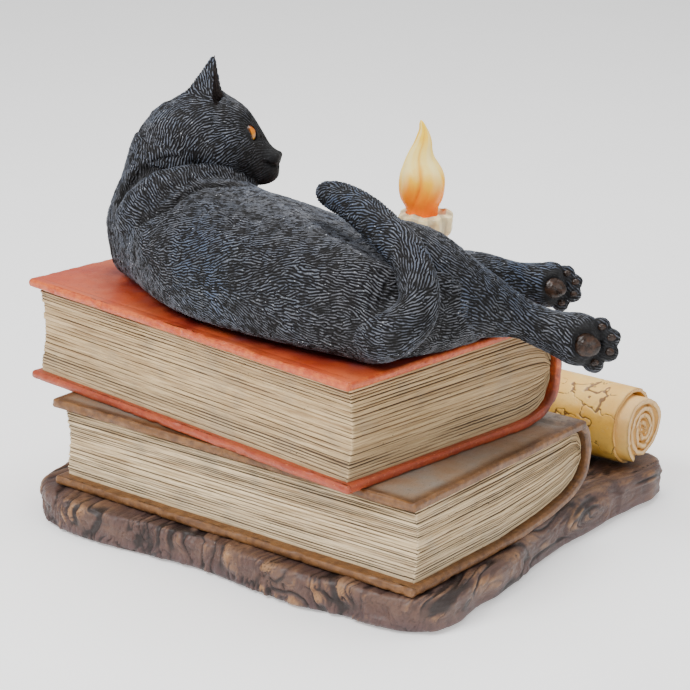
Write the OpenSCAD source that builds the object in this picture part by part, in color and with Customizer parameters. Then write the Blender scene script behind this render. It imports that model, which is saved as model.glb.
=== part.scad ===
// Black cat figurine: a cat lies on its left side on two stacked old books,
// with a candle and a rolled parchment behind the books, all on one rough plank.
// Frame: millimetres, +Z up, origin at the centre of the footprint on the surface it stands on.
// +X runs along the long side of the plank towards the cat's hind paws, +Y towards the candle.

/* [Plank] */
// Thickness of the plank, from its underside to its top face
plank_t = 12.3; // [10:0.1:15]
// How far the rounded upper edge of the plank steps in
plank_edge = 1.6; // [0.8:0.1:2.4]

/* [Feet] */
// Diameter of each felt foot
foot_d = 16; // [10:1:20]
// Thickness of each felt foot
foot_t = 2.0; // [1.5:0.1:2.5]

/* [Lower book] */
// Length of the lower book along its spine
low_len = 160.8; // [150:0.1:165]
// Thickness of the lower book
low_h = 32.5; // [30:0.1:36]
// Thickness of the lower book's boards
low_board = 3.2; // [2.5:0.1:4]

/* [Upper book] */
// Length of the upper book along its spine
up_len = 162.5; // [150:0.1:168]
// Thickness of the upper book
up_h = 37.7; // [35:0.1:42]
// Thickness of the upper book's boards
up_board = 3.0; // [2.5:0.1:4]
// Turn of the upper book on the lower one, in degrees
up_turn = -6.7; // [-9:0.1:-4]
// How far the boards stand out past the pages
square_w = 2.6; // [1.5:0.1:3.5]

/* [Candle] */
// Diameter of the wax candle
candle_d = 16.5; // [14:0.5:19]
// Height of the candle's rim above the plank's top face
candle_h = 86.5; // [70:0.5:90]
// Height of the flame above the wax
flame_h = 41; // [30:1:44]

/* [Scroll] */
// Outer diameter of the rolled parchment
scroll_d = 27.6; // [24:0.2:29]
// Length of the rolled parchment
scroll_len = 112; // [80:1:120]

/* [Cat] */
// Diameter of each eye ball
eye_d = 6.8; // [6:0.1:7.6]
// Diameter of a hind paw's large pad
pad_d = 8.6; // [7:0.1:9.4]

/* [Hidden] */
// Shift from the working frame of the numbers below to the centre of the footprint
off_x = -3.6;
off_y = 1.75;
foot_out = 0.8;                    // how far the felt stands out under the plank
plank_top = foot_out + plank_t;    // 13.1
low_z = plank_top;
up_z = low_z + low_h;
seat_z = up_z + up_h;              // the cat lies at this height
gap = 0.15;
view_turn = 38.2;                  // turn of the sole and head planes about Z
view_tip = 71.8;                   // and their tip back from the vertical
candle_x = -0.6;
candle_y = 40;
// The plank's outline, walked anticlockwise from the left end of its long edge
plank_pts = [[-90,-66],[-86,-77],[-74,-86],[-58,-89],[-40,-88],[-26,-86],[-6,-84],
  [18,-85.5],[40,-86],[58,-83],[70,-82.5],[80,-80.5],[88,-74],[91,-63],[89,-50],[89,-38],
  [87.5,-24],[84.5,-10],[83,6],[82.5,24],[82.5,42],[83,58],[83.5,70],[80,80],[70,85],[54,84],
  [34,85.5],[12,84],[-10,85],[-32,83],[-54,84.5],[-72,82],[-83,76],[-88,64],[-87,44],
  [-90,24],[-88,4],[-91,-16],[-89,-36],[-92,-52]];
// Rows of a lofted solid: [x, y, z, half width, height above the line, depth below it]
torso_rows = [[-87,-28,96,3,5,5],[-85,-28,97,10,10,10],[-80.5,-28,98,16.5,15,14],
  [-72,-28,99,21.5,22,15.6],[-60,-30,99,24.5,27,15.6],[-44,-35,98,27,27,14.6],
  [-26,-42,97.5,29.5,26.3,14.1],[-8,-46,97.5,31,26.2,14.1],[12,-47,97.5,31,26.2,14.1],
  [30,-47,97.5,30.5,26.2,14.1],[46,-47,97.5,29,25,14.1],[57,-47,97.5,25,22,14.1],
  [65,-48,97,18,16,12],[69,-49,96.5,10,9,8],[71,-49,96,3,3,3]];
neck_rows = [[-65,-28,98,18,18,12],[-64,-31,106,16.5,16.5,16],[-62.5,-34,113,15,15,15],
  [-61,-34.5,121,14.6,14.6,14.6],[-60.6,-30.4,130.6,14.4,14.4,14.4],[-57.6,-26,137,12.5,12.5,12.5],[-54,-23,141,4,4,4]];
// Head rows in the head's own frame: x towards the nose, z towards the cat's right cheek
head_rows = [[-19,-2,0,2.5,3,3],[-17,-1.5,0,8,8.8,8],[-10,-1,0,13,13.6,12],
  [-3,-1.6,0,15.5,15.8,13.5],[5,-2,0,15.8,16.6,14.4],[9.6,-2.6,0,14.8,16,14.8],[14.2,-3.6,0,12.8,14,14.6],
  [17.8,-5,0,10.2,11.6,13.4],[20.6,-6.3,0,8,8,12.2],[23.2,-7.8,0,6.2,5,9.4],[25.8,-8.6,0,4,3,5.6],
  [27.4,-8.9,0,1.4,1.2,2]];
tail_rows = [[50,-62,93,6,6,6],[58,-66.5,93.5,8.4,8.4,8.4],[65,-68,95.5,7.8,7.8,7.8],[70,-66,99.5,7.2,7.2,7.2],
  [71.5,-62,105,6.6,6.6,6.6],[68,-58,112,6.4,6.4,6.4],[61,-55,119,6.3,6.3,6.3],
  [52,-53,123.6,6.2,6.2,6.2],[42,-50,127,6,6,6],[33,-47,128.8,5.6,5.6,5.6],
  [25,-44.5,129.4,5,5,5],[18.6,-43,129.6,3.8,3.8,3.8],[15.4,-42.3,129.6,1.2,1.2,1.2]];
hind_r_rows = [[34,-44,103,9,10,9],[42,-42,104,17,19,17],[52,-38,103.5,18,19,18],[61,-33,101,16,15.4,16.5],
  [68,-26.5,97.5,12,11.4,13.5],[73,-19,93,8.6,9,9],[78,-13.5,89.6,7,7.2,6],
  [84,-10,87.4,6.8,6.8,6.6],[89.5,-8,86,7.4,7.4,7.4],[94.8,-6,84.9,8.6,8.8,8.8],[98.6,-4.4,83.8,7.6,8,8],
  [101.4,-2.6,83.2,3.5,4,4]];
hind_l_rows = [[46,-18,97,7,8,8],[52,-12,97.2,11,11,11.6],[58,-4,97,9.5,9.5,11],[62.6,3,96.2,7,7,8],
  [66,8,95.6,6.4,6.4,6.6],[69.6,10.6,95.2,7,7.2,7.2],[72.6,12.6,94.8,7.4,7.8,7.8],[75,14,94.4,6,6.4,6.4],
  [76.6,15,94.2,3,3.4,3.4]];
fore_r_rows = [[-64,-22,108,8,8,8],[-58,-14,108,12,12,12],[-52,-6,103,10.5,10.5,10.5],[-47,1,97,8,8,8],
  [-40,6,92.5,6.4,6.4,6.4],[-31,8.5,90.2,5.8,5.8,5.8],[-22,8,90,6.6,6.2,6.2],[-14,6.5,90,6.6,5.8,6],
  [-10,5.5,89.8,3,3,3]];
fore_l_rows = [[-76,-16,98,8,8,8],[-74,-8,97,10,10,10],[-70,0,94,8.6,8.6,8.6],[-64,7,91,7,7,7.2],
  [-56,12,89.8,6,6,6],[-48,14.5,89.6,6,5.8,5.8],[-40,15,89.8,6.6,6,6],[-33,14.5,89.8,6.2,5.4,5.6],
  [-29,14,89.6,3,2.8,3]];

// ---- rules that turn the rows above into solids ----
function pick(P, i) = P[min(max(i, 0), len(P) - 1)];
function between(a, b, c, d, t) = 0.5 * (2*b + (c - a)*t + (2*a - 5*b + 4*c - d)*t*t
  + (3*b - a - 3*c + d)*t*t*t);
function rows(P, n) = concat([for (i = [0 : len(P) - 2]) for (j = [0 : n - 1])
  between(pick(P, i - 1), P[i], P[i + 1], pick(P, i + 2), j/n)], [P[len(P) - 1]]);
function unit(v) = v / norm(v);
function pos(r) = [r[0], r[1], r[2]];
function sgn_pow(v, p) = sign(v) * pow(abs(v), p);
// One ring of m points; q_up and q_dn set how square its upper and lower halves are
function ring(P, i, up, m, q_up, q_dn) =
  let (t = unit(pos(pick(P, i + 1)) - pos(pick(P, i - 1))), s = unit(cross(t, up)), u = cross(s, t), r = P[i])
  [for (k = [0 : m - 1]) let (a = 360*k/m, q = sin(a) < 0 ? q_dn : q_up)
    pos(r) + s * max(r[3], 0.3) * sgn_pow(cos(a), 2/q) + u * max(sin(a) < 0 ? r[5] : r[4], 0.3) * sgn_pow(sin(a), 2/q)];
module loft(control, n = 3, m = 24, up = [0, 0, 1], q_up = 2.1, q_dn = 2.1) {
  P = rows(control, n);
  c = len(P);
  pts = concat([for (i = [0 : c - 1]) each ring(P, i, up, m, q_up, q_dn)], [pos(P[0]), pos(P[c - 1])]);
  side = [for (i = [0 : c - 2]) for (k = [0 : m - 1]) let (a = i*m + k, b = i*m + (k + 1) % m)
    each [[a, b, b + m], [a, b + m, a + m]]];
  ends = concat([for (k = [0 : m - 1]) [c*m, (k + 1) % m, k]],
    [for (k = [0 : m - 1]) [c*m + 1, (c - 1)*m + k, (c - 1)*m + (k + 1) % m]]);
  polyhedron(points = pts, faces = concat(side, ends), convexity = 6);
}
// Several lofts that meet are one casting
module casting() { resize([0, 0, 0]) union() children(); }
module placed() { translate([off_x, off_y, 0]) children(); }
module facing(p) { translate(p) rotate([view_tip, 0, view_turn]) children(); }
module head_frame() { facing([-53, -22.4, 135.4]) rotate([-7, 5, 0]) children(); }
// Moves an outline point towards the middle by d
function inset(p, d) = p * (1 - d/norm(p));
module slab(z0, z1, d) {
  translate([0, 0, z0]) linear_extrude(z1 - z0)
    polygon([for (p = rows(plank_pts, 3)) inset(p, d)]);
}

// ---- plank, feet ----
foot_xy = [[-64, -58], [62, -58], [62, 60], [-64, 60]];
module base_plank() { color("rosybrown") placed() difference() {
  union() {
    slab(foot_out, foot_out + 2, 1.2);
    slab(foot_out + 2, plank_top - 2, 0);
    slab(plank_top - 2, plank_top, plank_edge);
  }
  for (p = foot_xy) translate([p[0], p[1], 0]) cylinder(d = foot_d + 0.4, h = foot_t + 0.05, $fn = 64);
  translate([candle_x, candle_y, plank_top - 6]) cylinder(d = candle_d - 3.6, h = 7, $fn = 64);
  for (x = [-50, 50]) translate([x, -30, plank_top - 3]) cylinder(d = 10.4, h = 4, $fn = 48);
} }
module felt_feet() { color("darkgreen") placed()
  for (p = foot_xy) translate([p[0], p[1], 0]) cylinder(d = foot_d, h = foot_t, $fn = 64); }

// ---- books: the profile lies across the spine, s from the fore edge, z up ----
function upper_outer(h) = [[0,0],[84,0],[92,0.8],[98,2.6],[102,5.6],[104.6,10.5],[105.6,17],[105.6,h-17],
  [104.6,h-10.5],[102,h-5.6],[98,h-2.6],[92,h-0.8],[84,h],[0,h]];
function upper_inner(h, b) = [[84,h-b],[91,h-b-0.7],[95.6,h-b-2.1],[99,h-b-4.6],[101.2,h-13.5],[102,h-18],
  [102,18],[101.2,13.5],[99,b+4.6],[95.6,b+2.1],[91,b+0.7],[84,b]];
function lower_outer(h) = [[0,0],[52,0],[76,2],[90,4.6],[98,7.8],[102.6,12],[104.6,17.5],[104.7,22],
  [103.4,27.4],[100.6,30.8],[96.5,h],[0,h]];
function lower_inner(h, b) = [[95,h-b],[98.4,h-b-1.6],[100.2,h-b-4.6],[101,21.4],[101,18],[99.4,14],[96,11],
  [89,8],[75,b+2.1],[52,b]];
module extrude_book(len, a) { translate([-len + a, 0, 0]) rotate([90, 0, 90]) linear_extrude(len - 2*a) children(); }
module low_place() { translate([83.2, -78.7, low_z]) children(); }
module up_place() { translate([62, -86, up_z]) rotate([0, 0, up_turn]) children(); }

module lower_book_cover() { color("sienna") placed() {
  low_place() difference() {
    extrude_book(low_len, 0) polygon(concat(lower_outer(low_h),
      [[0, low_h - low_board]], lower_inner(low_h, low_board), [[0, low_board]]));
    for (x = [-134, -34]) translate([x, 46, low_h - 2]) cylinder(d = 10.4, h = 3, $fn = 48);
  }
  for (x = [-50, 50]) translate([x, -30, low_z - 2.5]) cylinder(d = 10, h = 3, $fn = 48);
} }
module lower_book_pages() { color("wheat") placed() low_place() extrude_book(low_len, square_w)
  polygon(concat([[4.4, low_board], [4.8, 8], [5.8, 14], [5.8, 20], [4.8, low_h - 7], [4.4, low_h - low_board]],
    lower_inner(low_h, low_board))); }
module upper_book_cover() { color("orangered") placed() {
  up_place() difference() {
    extrude_book(up_len, 0) polygon(concat(upper_outer(up_h),
      [[0, up_h - up_board]], upper_inner(up_h, up_board), [[0, up_board]]));
    for (x = [-112, -40]) translate([x, 46, up_h - 2]) cylinder(d = 10.4, h = 3, $fn = 48);
  }
  low_place() for (x = [-134, -34]) translate([x, 46, low_h - 1.8]) cylinder(d = 10, h = 2.4, $fn = 48);
} }
module upper_book_pages() { color("tan") placed() up_place() extrude_book(up_len, square_w)
  polygon(concat([[2.8, up_board], [3.4, 8], [4.9, 14], [5.2, 19], [4.6, 28], [3.4, up_h - up_board]],
    upper_inner(up_h, up_board))); }

// ---- rolled parchment: a sheet wound in a spiral, lying along X ----
turns = 4;
sheet_t = 1.7;
function wind(i, n, r) = let (a = 200 - 360*turns*i/n, q = r - (scroll_d/2 - 2.6)*i/n) [q*cos(a), q*sin(a)];
module parchment_scroll() { color("khaki") placed()
  translate([77 - scroll_len, 72, plank_top + scroll_d/2 + 0.05]) rotate([90, 0, 90]) {
    linear_extrude(scroll_len)
      polygon(concat([for (i = [0 : 120]) wind(i, 120, scroll_d/2)],
        [for (i = [120 : -1 : 0]) wind(i, 120, scroll_d/2 - sheet_t)]));
    translate([0, 0, 1.5]) cylinder(d = 4.2, h = scroll_len - 3, $fn = 32);
  } }

// ---- candle ----
wax_r = candle_d/2;
module candle_stick() { color("cornsilk") placed() translate([candle_x, candle_y, plank_top])
  difference() {
    union() {
      translate([0, 0, -5.5]) cylinder(r = wax_r - 2, h = 6, $fn = 64);
      rotate_extrude($fn = 64) polygon([[0, 0], [wax_r + 3.2, 0], [wax_r + 2.4, 2], [wax_r + 0.6, 6], [wax_r, 14],
        [wax_r - 0.2, candle_h - 12], [wax_r + 0.8, candle_h - 7], [wax_r + 1, candle_h - 3], [wax_r + 0.2, candle_h - 0.8],
        [wax_r - 1.4, candle_h], [wax_r - 2.8, candle_h - 1], [wax_r - 3.4, candle_h - 3], [0, candle_h - 3.4]]);
    }
    translate([0, 0, candle_h - 12]) cylinder(d = 5.2, h = 14, $fn = 48);
  } }
// The flame's body leans and turns as it rises
flame_rows = [[0, 0, 0.4, 4.6, 4.6, 4.6], [0.2, 0, 5, 6.2, 6.2, 6.2], [0.2, 0, 10, 8, 8, 8],
  [-0.2, -0.2, 15, 7.6, 7.6, 7.6], [-1.2, -0.6, 21, 5.8, 5.8, 5.8], [-2, -1, 27, 3.8, 3.8, 3.8],
  [-2.2, -1.2, 32, 2.1, 2.1, 2.1], [-2.4, -1.6, 37.6, 0.5, 0.5, 0.5]];
module candle_flame() { color("orange") placed() translate([candle_x, candle_y, plank_top + candle_h - 3.4]) {
  translate([0, 0, -7.6]) cylinder(d = 5, h = 8.6, $fn = 48);
  loft([for (r = flame_rows) [r[0], r[1], r[2]*flame_h/38, r[3], r[4], r[5]]], n = 2, m = 16, up = [0, 1, 0]);
} }

// ---- cat ----
module torso_raw() {
  intersection() {
    union() {
      loft(torso_rows, n = 3, m = 32, q_up = 2.2, q_dn = 3.6);
      loft(neck_rows, n = 2, m = 24, up = [1, 0, 0]);
    }
    translate([-200, -200, seat_z + gap]) cube([400, 400, 120]);
  }
}
module seat_cut() { intersection() { children(); translate([-200, -200, seat_z + gap]) cube([400, 400, 120]); } }
module eye_ball(side) { head_frame() translate([16.4, -0.3, side * 9.2]) sphere(d = eye_d, $fn = 28); }
module ear(side) { head_frame() hull() {
  translate([-8.5, 8, side * 6]) sphere(r = 2, $fn = 12);
  translate([3.6, 10, side * 5]) sphere(r = 2, $fn = 12);
  translate([0, 7, side * 11.5]) sphere(r = 2, $fn = 12);
  translate([2.9, 23.6, side * 11]) sphere(r = 0.9, $fn = 12);
} }
module cat_body() { color("dimgray") placed() casting() {
  torso_raw();
  up_place() for (x = [-112, -40]) translate([x, 46, up_h - 1.8]) cylinder(d = 10, h = 4, $fn = 32);
} }
module cat_head() { color("slategray") placed() casting() difference() {
  union() {
    head_frame() loft(head_rows, n = 3, m = 26, up = [0, 1, 0]);
    for (s = [-1, 1]) ear(s);
  }
  torso_raw();
  for (s = [-1, 1]) eye_ball(s);
} }
module cat_tail() { color("darkslategray") placed() casting() difference() {
  seat_cut() loft(tail_rows, n = 3, m = 18, up = [0.6, -0.75, 0.3]);
  torso_raw();
  thigh_raw();
} }
module thigh_raw() { loft(hind_r_rows, n = 3, m = 24); }
// Toes spread ahead of a paw whose sole faces the reader: x towards the toes
toe_xy = [[4.6, 4.9], [7.8, 1.6], [7.2, -2.9], [2.4, -6.2]];
module toes(p, k) { facing(p) for (t = toe_xy) translate([t[0]*k, t[1]*k, -1.2]) sphere(r = 3.3*k, $fn = 18); }
module soles(p, k, d) { facing(p) {
  translate([0, 0, d]) rotate_extrude($fn = 48) polygon([[0, -2], [pad_d*k/2 - 0.3, -2], [pad_d*k/2, -0.6],
    [pad_d*k/2 - 0.5, 0.8], [pad_d*k/2 - 2, 1.7], [0, 2.1]]);
  for (t = toe_xy) translate([t[0]*k*1.08, t[1]*k*1.08, 0.9*k]) rotate_extrude($fn = 32)
    polygon([[0, -1], [1.9*k, -1], [2.1*k, 0], [1.7*k, 0.8], [0, 1.5]]);
} }
paw_r = [97.6, -4, 83.4];
paw_l = [73.6, 12.8, 94.4];
module hind_leg_right() { color("dimgray") placed() casting() difference() {
  union() { over_seat() thigh_raw(); toes(paw_r, 1); }
  torso_raw();
  soles(paw_r, 1, 7.4);
} }
module hind_leg_left() { color("gray") placed() casting() difference() {
  union() { over_seat() loft(hind_l_rows, n = 3, m = 22); toes(paw_l, 0.85); }
  torso_raw();
  thigh_raw();
  soles(paw_l, 0.85, 6.7);
} }
// Cuts a limb where it would sink into the upper book, and leaves it free past the book's end
module over_seat() { difference() { children();
  up_place() translate([-200, -20, 0]) cube([200.3, 128, up_h + gap]); } }
module foreleg_right() { color("dimgray") placed() casting() difference() {
  over_seat() loft(fore_r_rows, n = 3, m = 20);
  torso_raw();
} }
module foreleg_left() { color("gray") placed() casting() difference() {
  over_seat() loft(fore_l_rows, n = 3, m = 20);
  torso_raw();
  loft(fore_r_rows, n = 3, m = 20);
} }
module eye_right() { color("darkorange") placed() eye_ball(1); }
module eye_left() { color("darkorange") placed() eye_ball(-1); }
module paw_pads_right() { color("darkgray") placed() soles(paw_r, 1, 7.4); }
module paw_pads_left() { color("darkgray") placed() soles(paw_l, 0.85, 6.7); }

base_plank();
felt_feet();
lower_book_cover();
lower_book_pages();
upper_book_cover();
upper_book_pages();
parchment_scroll();
candle_stick();
candle_flame();
cat_body();
cat_head();
cat_tail();
hind_leg_right();
hind_leg_left();
foreleg_right();
foreleg_left();
eye_right();
eye_left();
paw_pads_right();
paw_pads_left();
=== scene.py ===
import bpy, math
import numpy as np
from mathutils import Matrix, Vector


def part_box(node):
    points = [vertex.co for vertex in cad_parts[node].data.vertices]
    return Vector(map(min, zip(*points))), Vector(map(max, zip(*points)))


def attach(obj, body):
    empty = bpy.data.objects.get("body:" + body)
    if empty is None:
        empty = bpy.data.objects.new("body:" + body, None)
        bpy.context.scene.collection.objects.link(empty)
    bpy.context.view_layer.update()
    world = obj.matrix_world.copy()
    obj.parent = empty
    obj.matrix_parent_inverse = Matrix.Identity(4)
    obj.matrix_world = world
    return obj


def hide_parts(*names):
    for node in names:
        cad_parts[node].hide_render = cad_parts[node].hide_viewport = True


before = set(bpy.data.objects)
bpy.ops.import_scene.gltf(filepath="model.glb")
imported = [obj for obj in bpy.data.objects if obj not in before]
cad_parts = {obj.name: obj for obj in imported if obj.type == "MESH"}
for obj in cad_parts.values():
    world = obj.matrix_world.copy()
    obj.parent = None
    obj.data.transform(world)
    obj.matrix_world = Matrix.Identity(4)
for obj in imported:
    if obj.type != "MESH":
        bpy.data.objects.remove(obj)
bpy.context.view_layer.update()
np.seterr(all="ignore")

# ------------------------------------------------------------------ frame of the numbers below
# Millimetres in a working frame whose candle stands at (-0.6, 40). The CAD boxes give the shift.
_lo, _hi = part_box("candle_flame")
_cl, _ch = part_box("candle_stick")
OFF = np.array([(_cl[0] + _ch[0]) * 500 + 0.6, (_cl[1] + _ch[1]) * 500 - 40.0, 0.0])

# ------------------------------------------------------------------ noise
def _hash(ix, iy, iz, seed):
    h = (ix.astype(np.int64) * 374761393 + iy.astype(np.int64) * 668265263
         + iz.astype(np.int64) * 2147483629 + seed * 974634777) & 0xFFFFFFFF
    h = ((h ^ (h >> 13)) * 1274126177) & 0xFFFFFFFF
    h = ((h ^ (h >> 16)) * 2654435761) & 0xFFFFFFFF
    return (h ^ (h >> 15)).astype(np.float64) / 4294967295.0

def vnoise(P, seed=0):
    """Smooth value noise, about -1 to 1."""
    P = np.asarray(P, float)
    i = np.floor(P).astype(np.int64)
    f = P - i
    u = f * f * f * (f * (f * 6 - 15) + 10)
    out = 0
    for dx in (0, 1):
        for dy in (0, 1):
            for dz in (0, 1):
                w = (u[:, 0] if dx else 1 - u[:, 0]) * (u[:, 1] if dy else 1 - u[:, 1]) * (u[:, 2] if dz else 1 - u[:, 2])
                out = out + w * _hash(i[:, 0] + dx, i[:, 1] + dy, i[:, 2] + dz, seed)
    return out * 2 - 1

def fbm(P, octaves=4, seed=0, gain=0.5):
    out, a, s = 0, 1.0, 0.0
    P = np.asarray(P, float)
    for o in range(octaves):
        out = out + a * vnoise(P * (2.03 ** o) + 17.3 * o, seed + o)
        s += a
        a *= gain
    return out / s * 1.5

def n1(t, seed=0, octaves=3):
    t = np.asarray(t, float)
    return fbm(np.stack([t, np.zeros_like(t) + seed * 7.7, np.zeros_like(t)], 1), octaves, seed)

def sstep(a, b, x):
    t = np.clip((x - a) / (b - a), 0, 1)
    return t * t * (3 - 2 * t)

def catmull(P, n, closed=False):
    P = np.asarray(P, float)
    m = len(P)
    out = []
    rng = m if closed else m - 1
    for i in range(rng):
        if closed:
            a, b, c, d = P[(i - 1) % m], P[i], P[(i + 1) % m], P[(i + 2) % m]
        else:
            a, b, c, d = P[max(i - 1, 0)], P[i], P[i + 1], P[min(i + 2, m - 1)]
        for j in range(n):
            t = j / n
            out.append(0.5 * (2 * b + (c - a) * t + (2 * a - 5 * b + 4 * c - d) * t * t + (3 * b - a - 3 * c + d) * t ** 3))
    if not closed:
        out.append(P[-1])
    return np.array(out)

def resample(P, count, closed=True):
    """Evenly spaced points along a polyline."""
    Q = np.vstack([P, P[:1]]) if closed else P
    L = np.concatenate([[0], np.cumsum(np.linalg.norm(np.diff(Q, axis=0), axis=1))])
    t = np.linspace(0, L[-1], count + (1 if closed else 0))
    R = np.stack([np.interp(t, L, Q[:, k]) for k in range(Q.shape[1])], 1)
    return R[:-1] if closed else R

# ------------------------------------------------------------------ meshes
def add_mesh(name, V, quads=None, tris=None, attrs=None, smooth=True, rigid=True):
    """V in working millimetres. Faces are index arrays."""
    me = bpy.data.meshes.new(name)
    W = (np.asarray(V, float) + OFF) / 1000.0
    me.vertices.add(len(W))
    me.vertices.foreach_set("co", W.astype(np.float32).ravel())
    parts, sizes = [], []
    if quads is not None and len(quads):
        q = np.asarray(quads, np.int32)
        parts.append(q.ravel()); sizes.append(np.full(len(q), 4, np.int32))
    if tris is not None and len(tris):
        t = np.asarray(tris, np.int32)
        parts.append(t.ravel()); sizes.append(np.full(len(t), 3, np.int32))
    idx = np.concatenate(parts); size = np.concatenate(sizes)
    me.loops.add(len(idx)); me.loops.foreach_set("vertex_index", idx)
    me.polygons.add(len(size))
    start = np.concatenate([[0], np.cumsum(size)[:-1]]).astype(np.int32)
    me.polygons.foreach_set("loop_start", start)
    me.polygons.foreach_set("use_smooth", np.full(len(size), smooth))
    me.update(calc_edges=True)
    me.validate()
    for k, a in (attrs or {}).items():
        at = me.attributes.new(k, "FLOAT", "POINT")
        at.data.foreach_set("value", np.asarray(a, np.float32))
    o = bpy.data.objects.new(name, me)
    bpy.context.scene.collection.objects.link(o)
    return o

def grid_faces(nu, nv, wrap_u=False, wrap_v=False, base=0, flip=False):
    """Quads of a grid with index u*nv+v."""
    u = np.arange(nu if wrap_u else nu - 1); v = np.arange(nv if wrap_v else nv - 1)
    U, Vv = np.meshgrid(u, v, indexing="ij")
    U = U.ravel(); Vv = Vv.ravel(); U1 = (U + 1) % nu; V1 = (Vv + 1) % nv
    q = np.stack([U * nv + Vv, U1 * nv + Vv, U1 * nv + V1, U * nv + V1], 1) + base
    return q[:, ::-1] if flip else q

def fan(ring, centre, flip=False):
    r = np.asarray(ring); n = np.roll(r, -1)
    t = np.stack([r, n, np.full(len(r), centre)], 1)
    return t[:, ::-1] if flip else t

def piece(o, mat, nodes=()):
    o.data.materials.clear(); o.data.materials.append(mat)
    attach(o, "root")
    if nodes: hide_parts(*nodes)
    return o

# ------------------------------------------------------------------ materials
class Mat:
    def __init__(self, name):
        self.m = bpy.data.materials.new(name); self.m.use_nodes = True
        self.t = self.m.node_tree; self.t.nodes.clear()
        self.out = self.node("ShaderNodeOutputMaterial")
        self.b = self.node("ShaderNodeBsdfPrincipled")
        self.link(self.b.outputs[0], self.out.inputs[0])
        tc = self.node("ShaderNodeTexCoord")
        sc = self.node("ShaderNodeVectorMath"); sc.operation = "SCALE"; sc.inputs[3].default_value = 1000.0
        self.link(tc.outputs["Object"], sc.inputs[0])
        self.mm = sc.outputs[0]
    def node(self, kind): return self.t.nodes.new(kind)
    def link(self, a, b): self.t.links.new(a, b)
    def put(self, v, s):
        if isinstance(v, bpy.types.NodeSocket): self.link(v, s)
        elif isinstance(v, (tuple, list)) and len(v) == 3 and s.type == "RGBA": s.default_value = (*v, 1)
        else: s.default_value = v
    def stretch(self, sx, sy, sz, vec=None, rot=(0, 0, 0)):
        n = self.node("ShaderNodeMapping"); n.inputs["Scale"].default_value = (sx, sy, sz)
        n.inputs["Rotation"].default_value = rot
        self.link(vec or self.mm, n.inputs[0]); return n.outputs[0]
    def noise(self, scale, detail=3, rough=0.55, vec=None, dist=0.0):
        n = self.node("ShaderNodeTexNoise"); n.inputs["Scale"].default_value = scale
        n.inputs["Detail"].default_value = detail; n.inputs["Roughness"].default_value = rough
        n.inputs["Distortion"].default_value = dist
        self.link(vec or self.mm, n.inputs["Vector"]); return n.outputs["Fac"]
    def voro(self, scale, feature="F1", vec=None, rand=1.0):
        n = self.node("ShaderNodeTexVoronoi"); n.feature = feature
        n.inputs["Scale"].default_value = scale; n.inputs["Randomness"].default_value = rand
        self.link(vec or self.mm, n.inputs["Vector"]); return n.outputs["Distance"]
    def attr(self, name):
        n = self.node("ShaderNodeAttribute"); n.attribute_name = name; return n.outputs["Fac"]
    def ramp(self, fac, stops, interp="LINEAR"):
        n = self.node("ShaderNodeValToRGB"); r = n.color_ramp; r.interpolation = interp
        while len(r.elements) < len(stops): r.elements.new(0.5)
        for e, (p, c) in zip(r.elements, stops):
            e.position = p; e.color = (c, c, c, 1) if isinstance(c, (int, float)) else (*c, 1)
        self.put(fac, n.inputs[0]); return n.outputs[0]
    def mix(self, fac, a, b, mode="MIX"):
        n = self.node("ShaderNodeMix"); n.data_type = "RGBA"; n.blend_type = mode
        self.put(fac, n.inputs[0]); self.put(a, n.inputs[6]); self.put(b, n.inputs[7]); return n.outputs[2]
    def math(self, op, a, b=0.0, clamp=False):
        n = self.node("ShaderNodeMath"); n.operation = op; n.use_clamp = clamp
        self.put(a, n.inputs[0]); self.put(b, n.inputs[1]); return n.outputs[0]
    def rng(self, v, a, b, c=0.0, d=1.0):
        n = self.node("ShaderNodeMapRange"); n.interpolation_type = "SMOOTHSTEP"
        self.put(v, n.inputs[0]); n.inputs[1].default_value = a; n.inputs[2].default_value = b
        n.inputs[3].default_value = c; n.inputs[4].default_value = d; return n.outputs[0]
    def xyz(self, vec=None):
        n = self.node("ShaderNodeSeparateXYZ"); self.link(vec or self.mm, n.inputs[0]); return n.outputs
    def bump(self, h, strength=0.5, dist=0.2, normal=None):
        n = self.node("ShaderNodeBump"); n.inputs["Strength"].default_value = strength
        n.inputs["Distance"].default_value = dist / 1000.0
        self.put(h, n.inputs["Height"])
        if normal is not None: self.link(normal, n.inputs["Normal"])
        return n.outputs[0]
    def done(self, color, rough, normal=None, **fixed):
        self.put(color, self.b.inputs["Base Color"]); self.put(rough, self.b.inputs["Roughness"])
        if normal is not None: self.link(normal, self.b.inputs["Normal"])
        for k, v in fixed.items():
            s = self.b.inputs[k.replace("_", " ")]
            s.default_value = (*v, 1) if isinstance(v, tuple) and s.type == "RGBA" else v
        return self.m

# ------------------------------------------------------------------ shared sizes, from the CAD boxes
def bx(n):
    lo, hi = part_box(n)
    return np.array(lo) * 1000 - OFF, np.array(hi) * 1000 - OFF
PLANK_LO, PLANK_HI = bx("base_plank"); PTOP = PLANK_HI[2]
LOW_Z = PTOP
UP_LO, UP_HI = bx("upper_book_cover"); SEAT = UP_HI[2]
LC_LO, LC_HI = bx("lower_book_cover"); UP_Z = LC_HI[2]
LOW_H = UP_Z - LOW_Z; UP_H = SEAT - UP_Z

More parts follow.
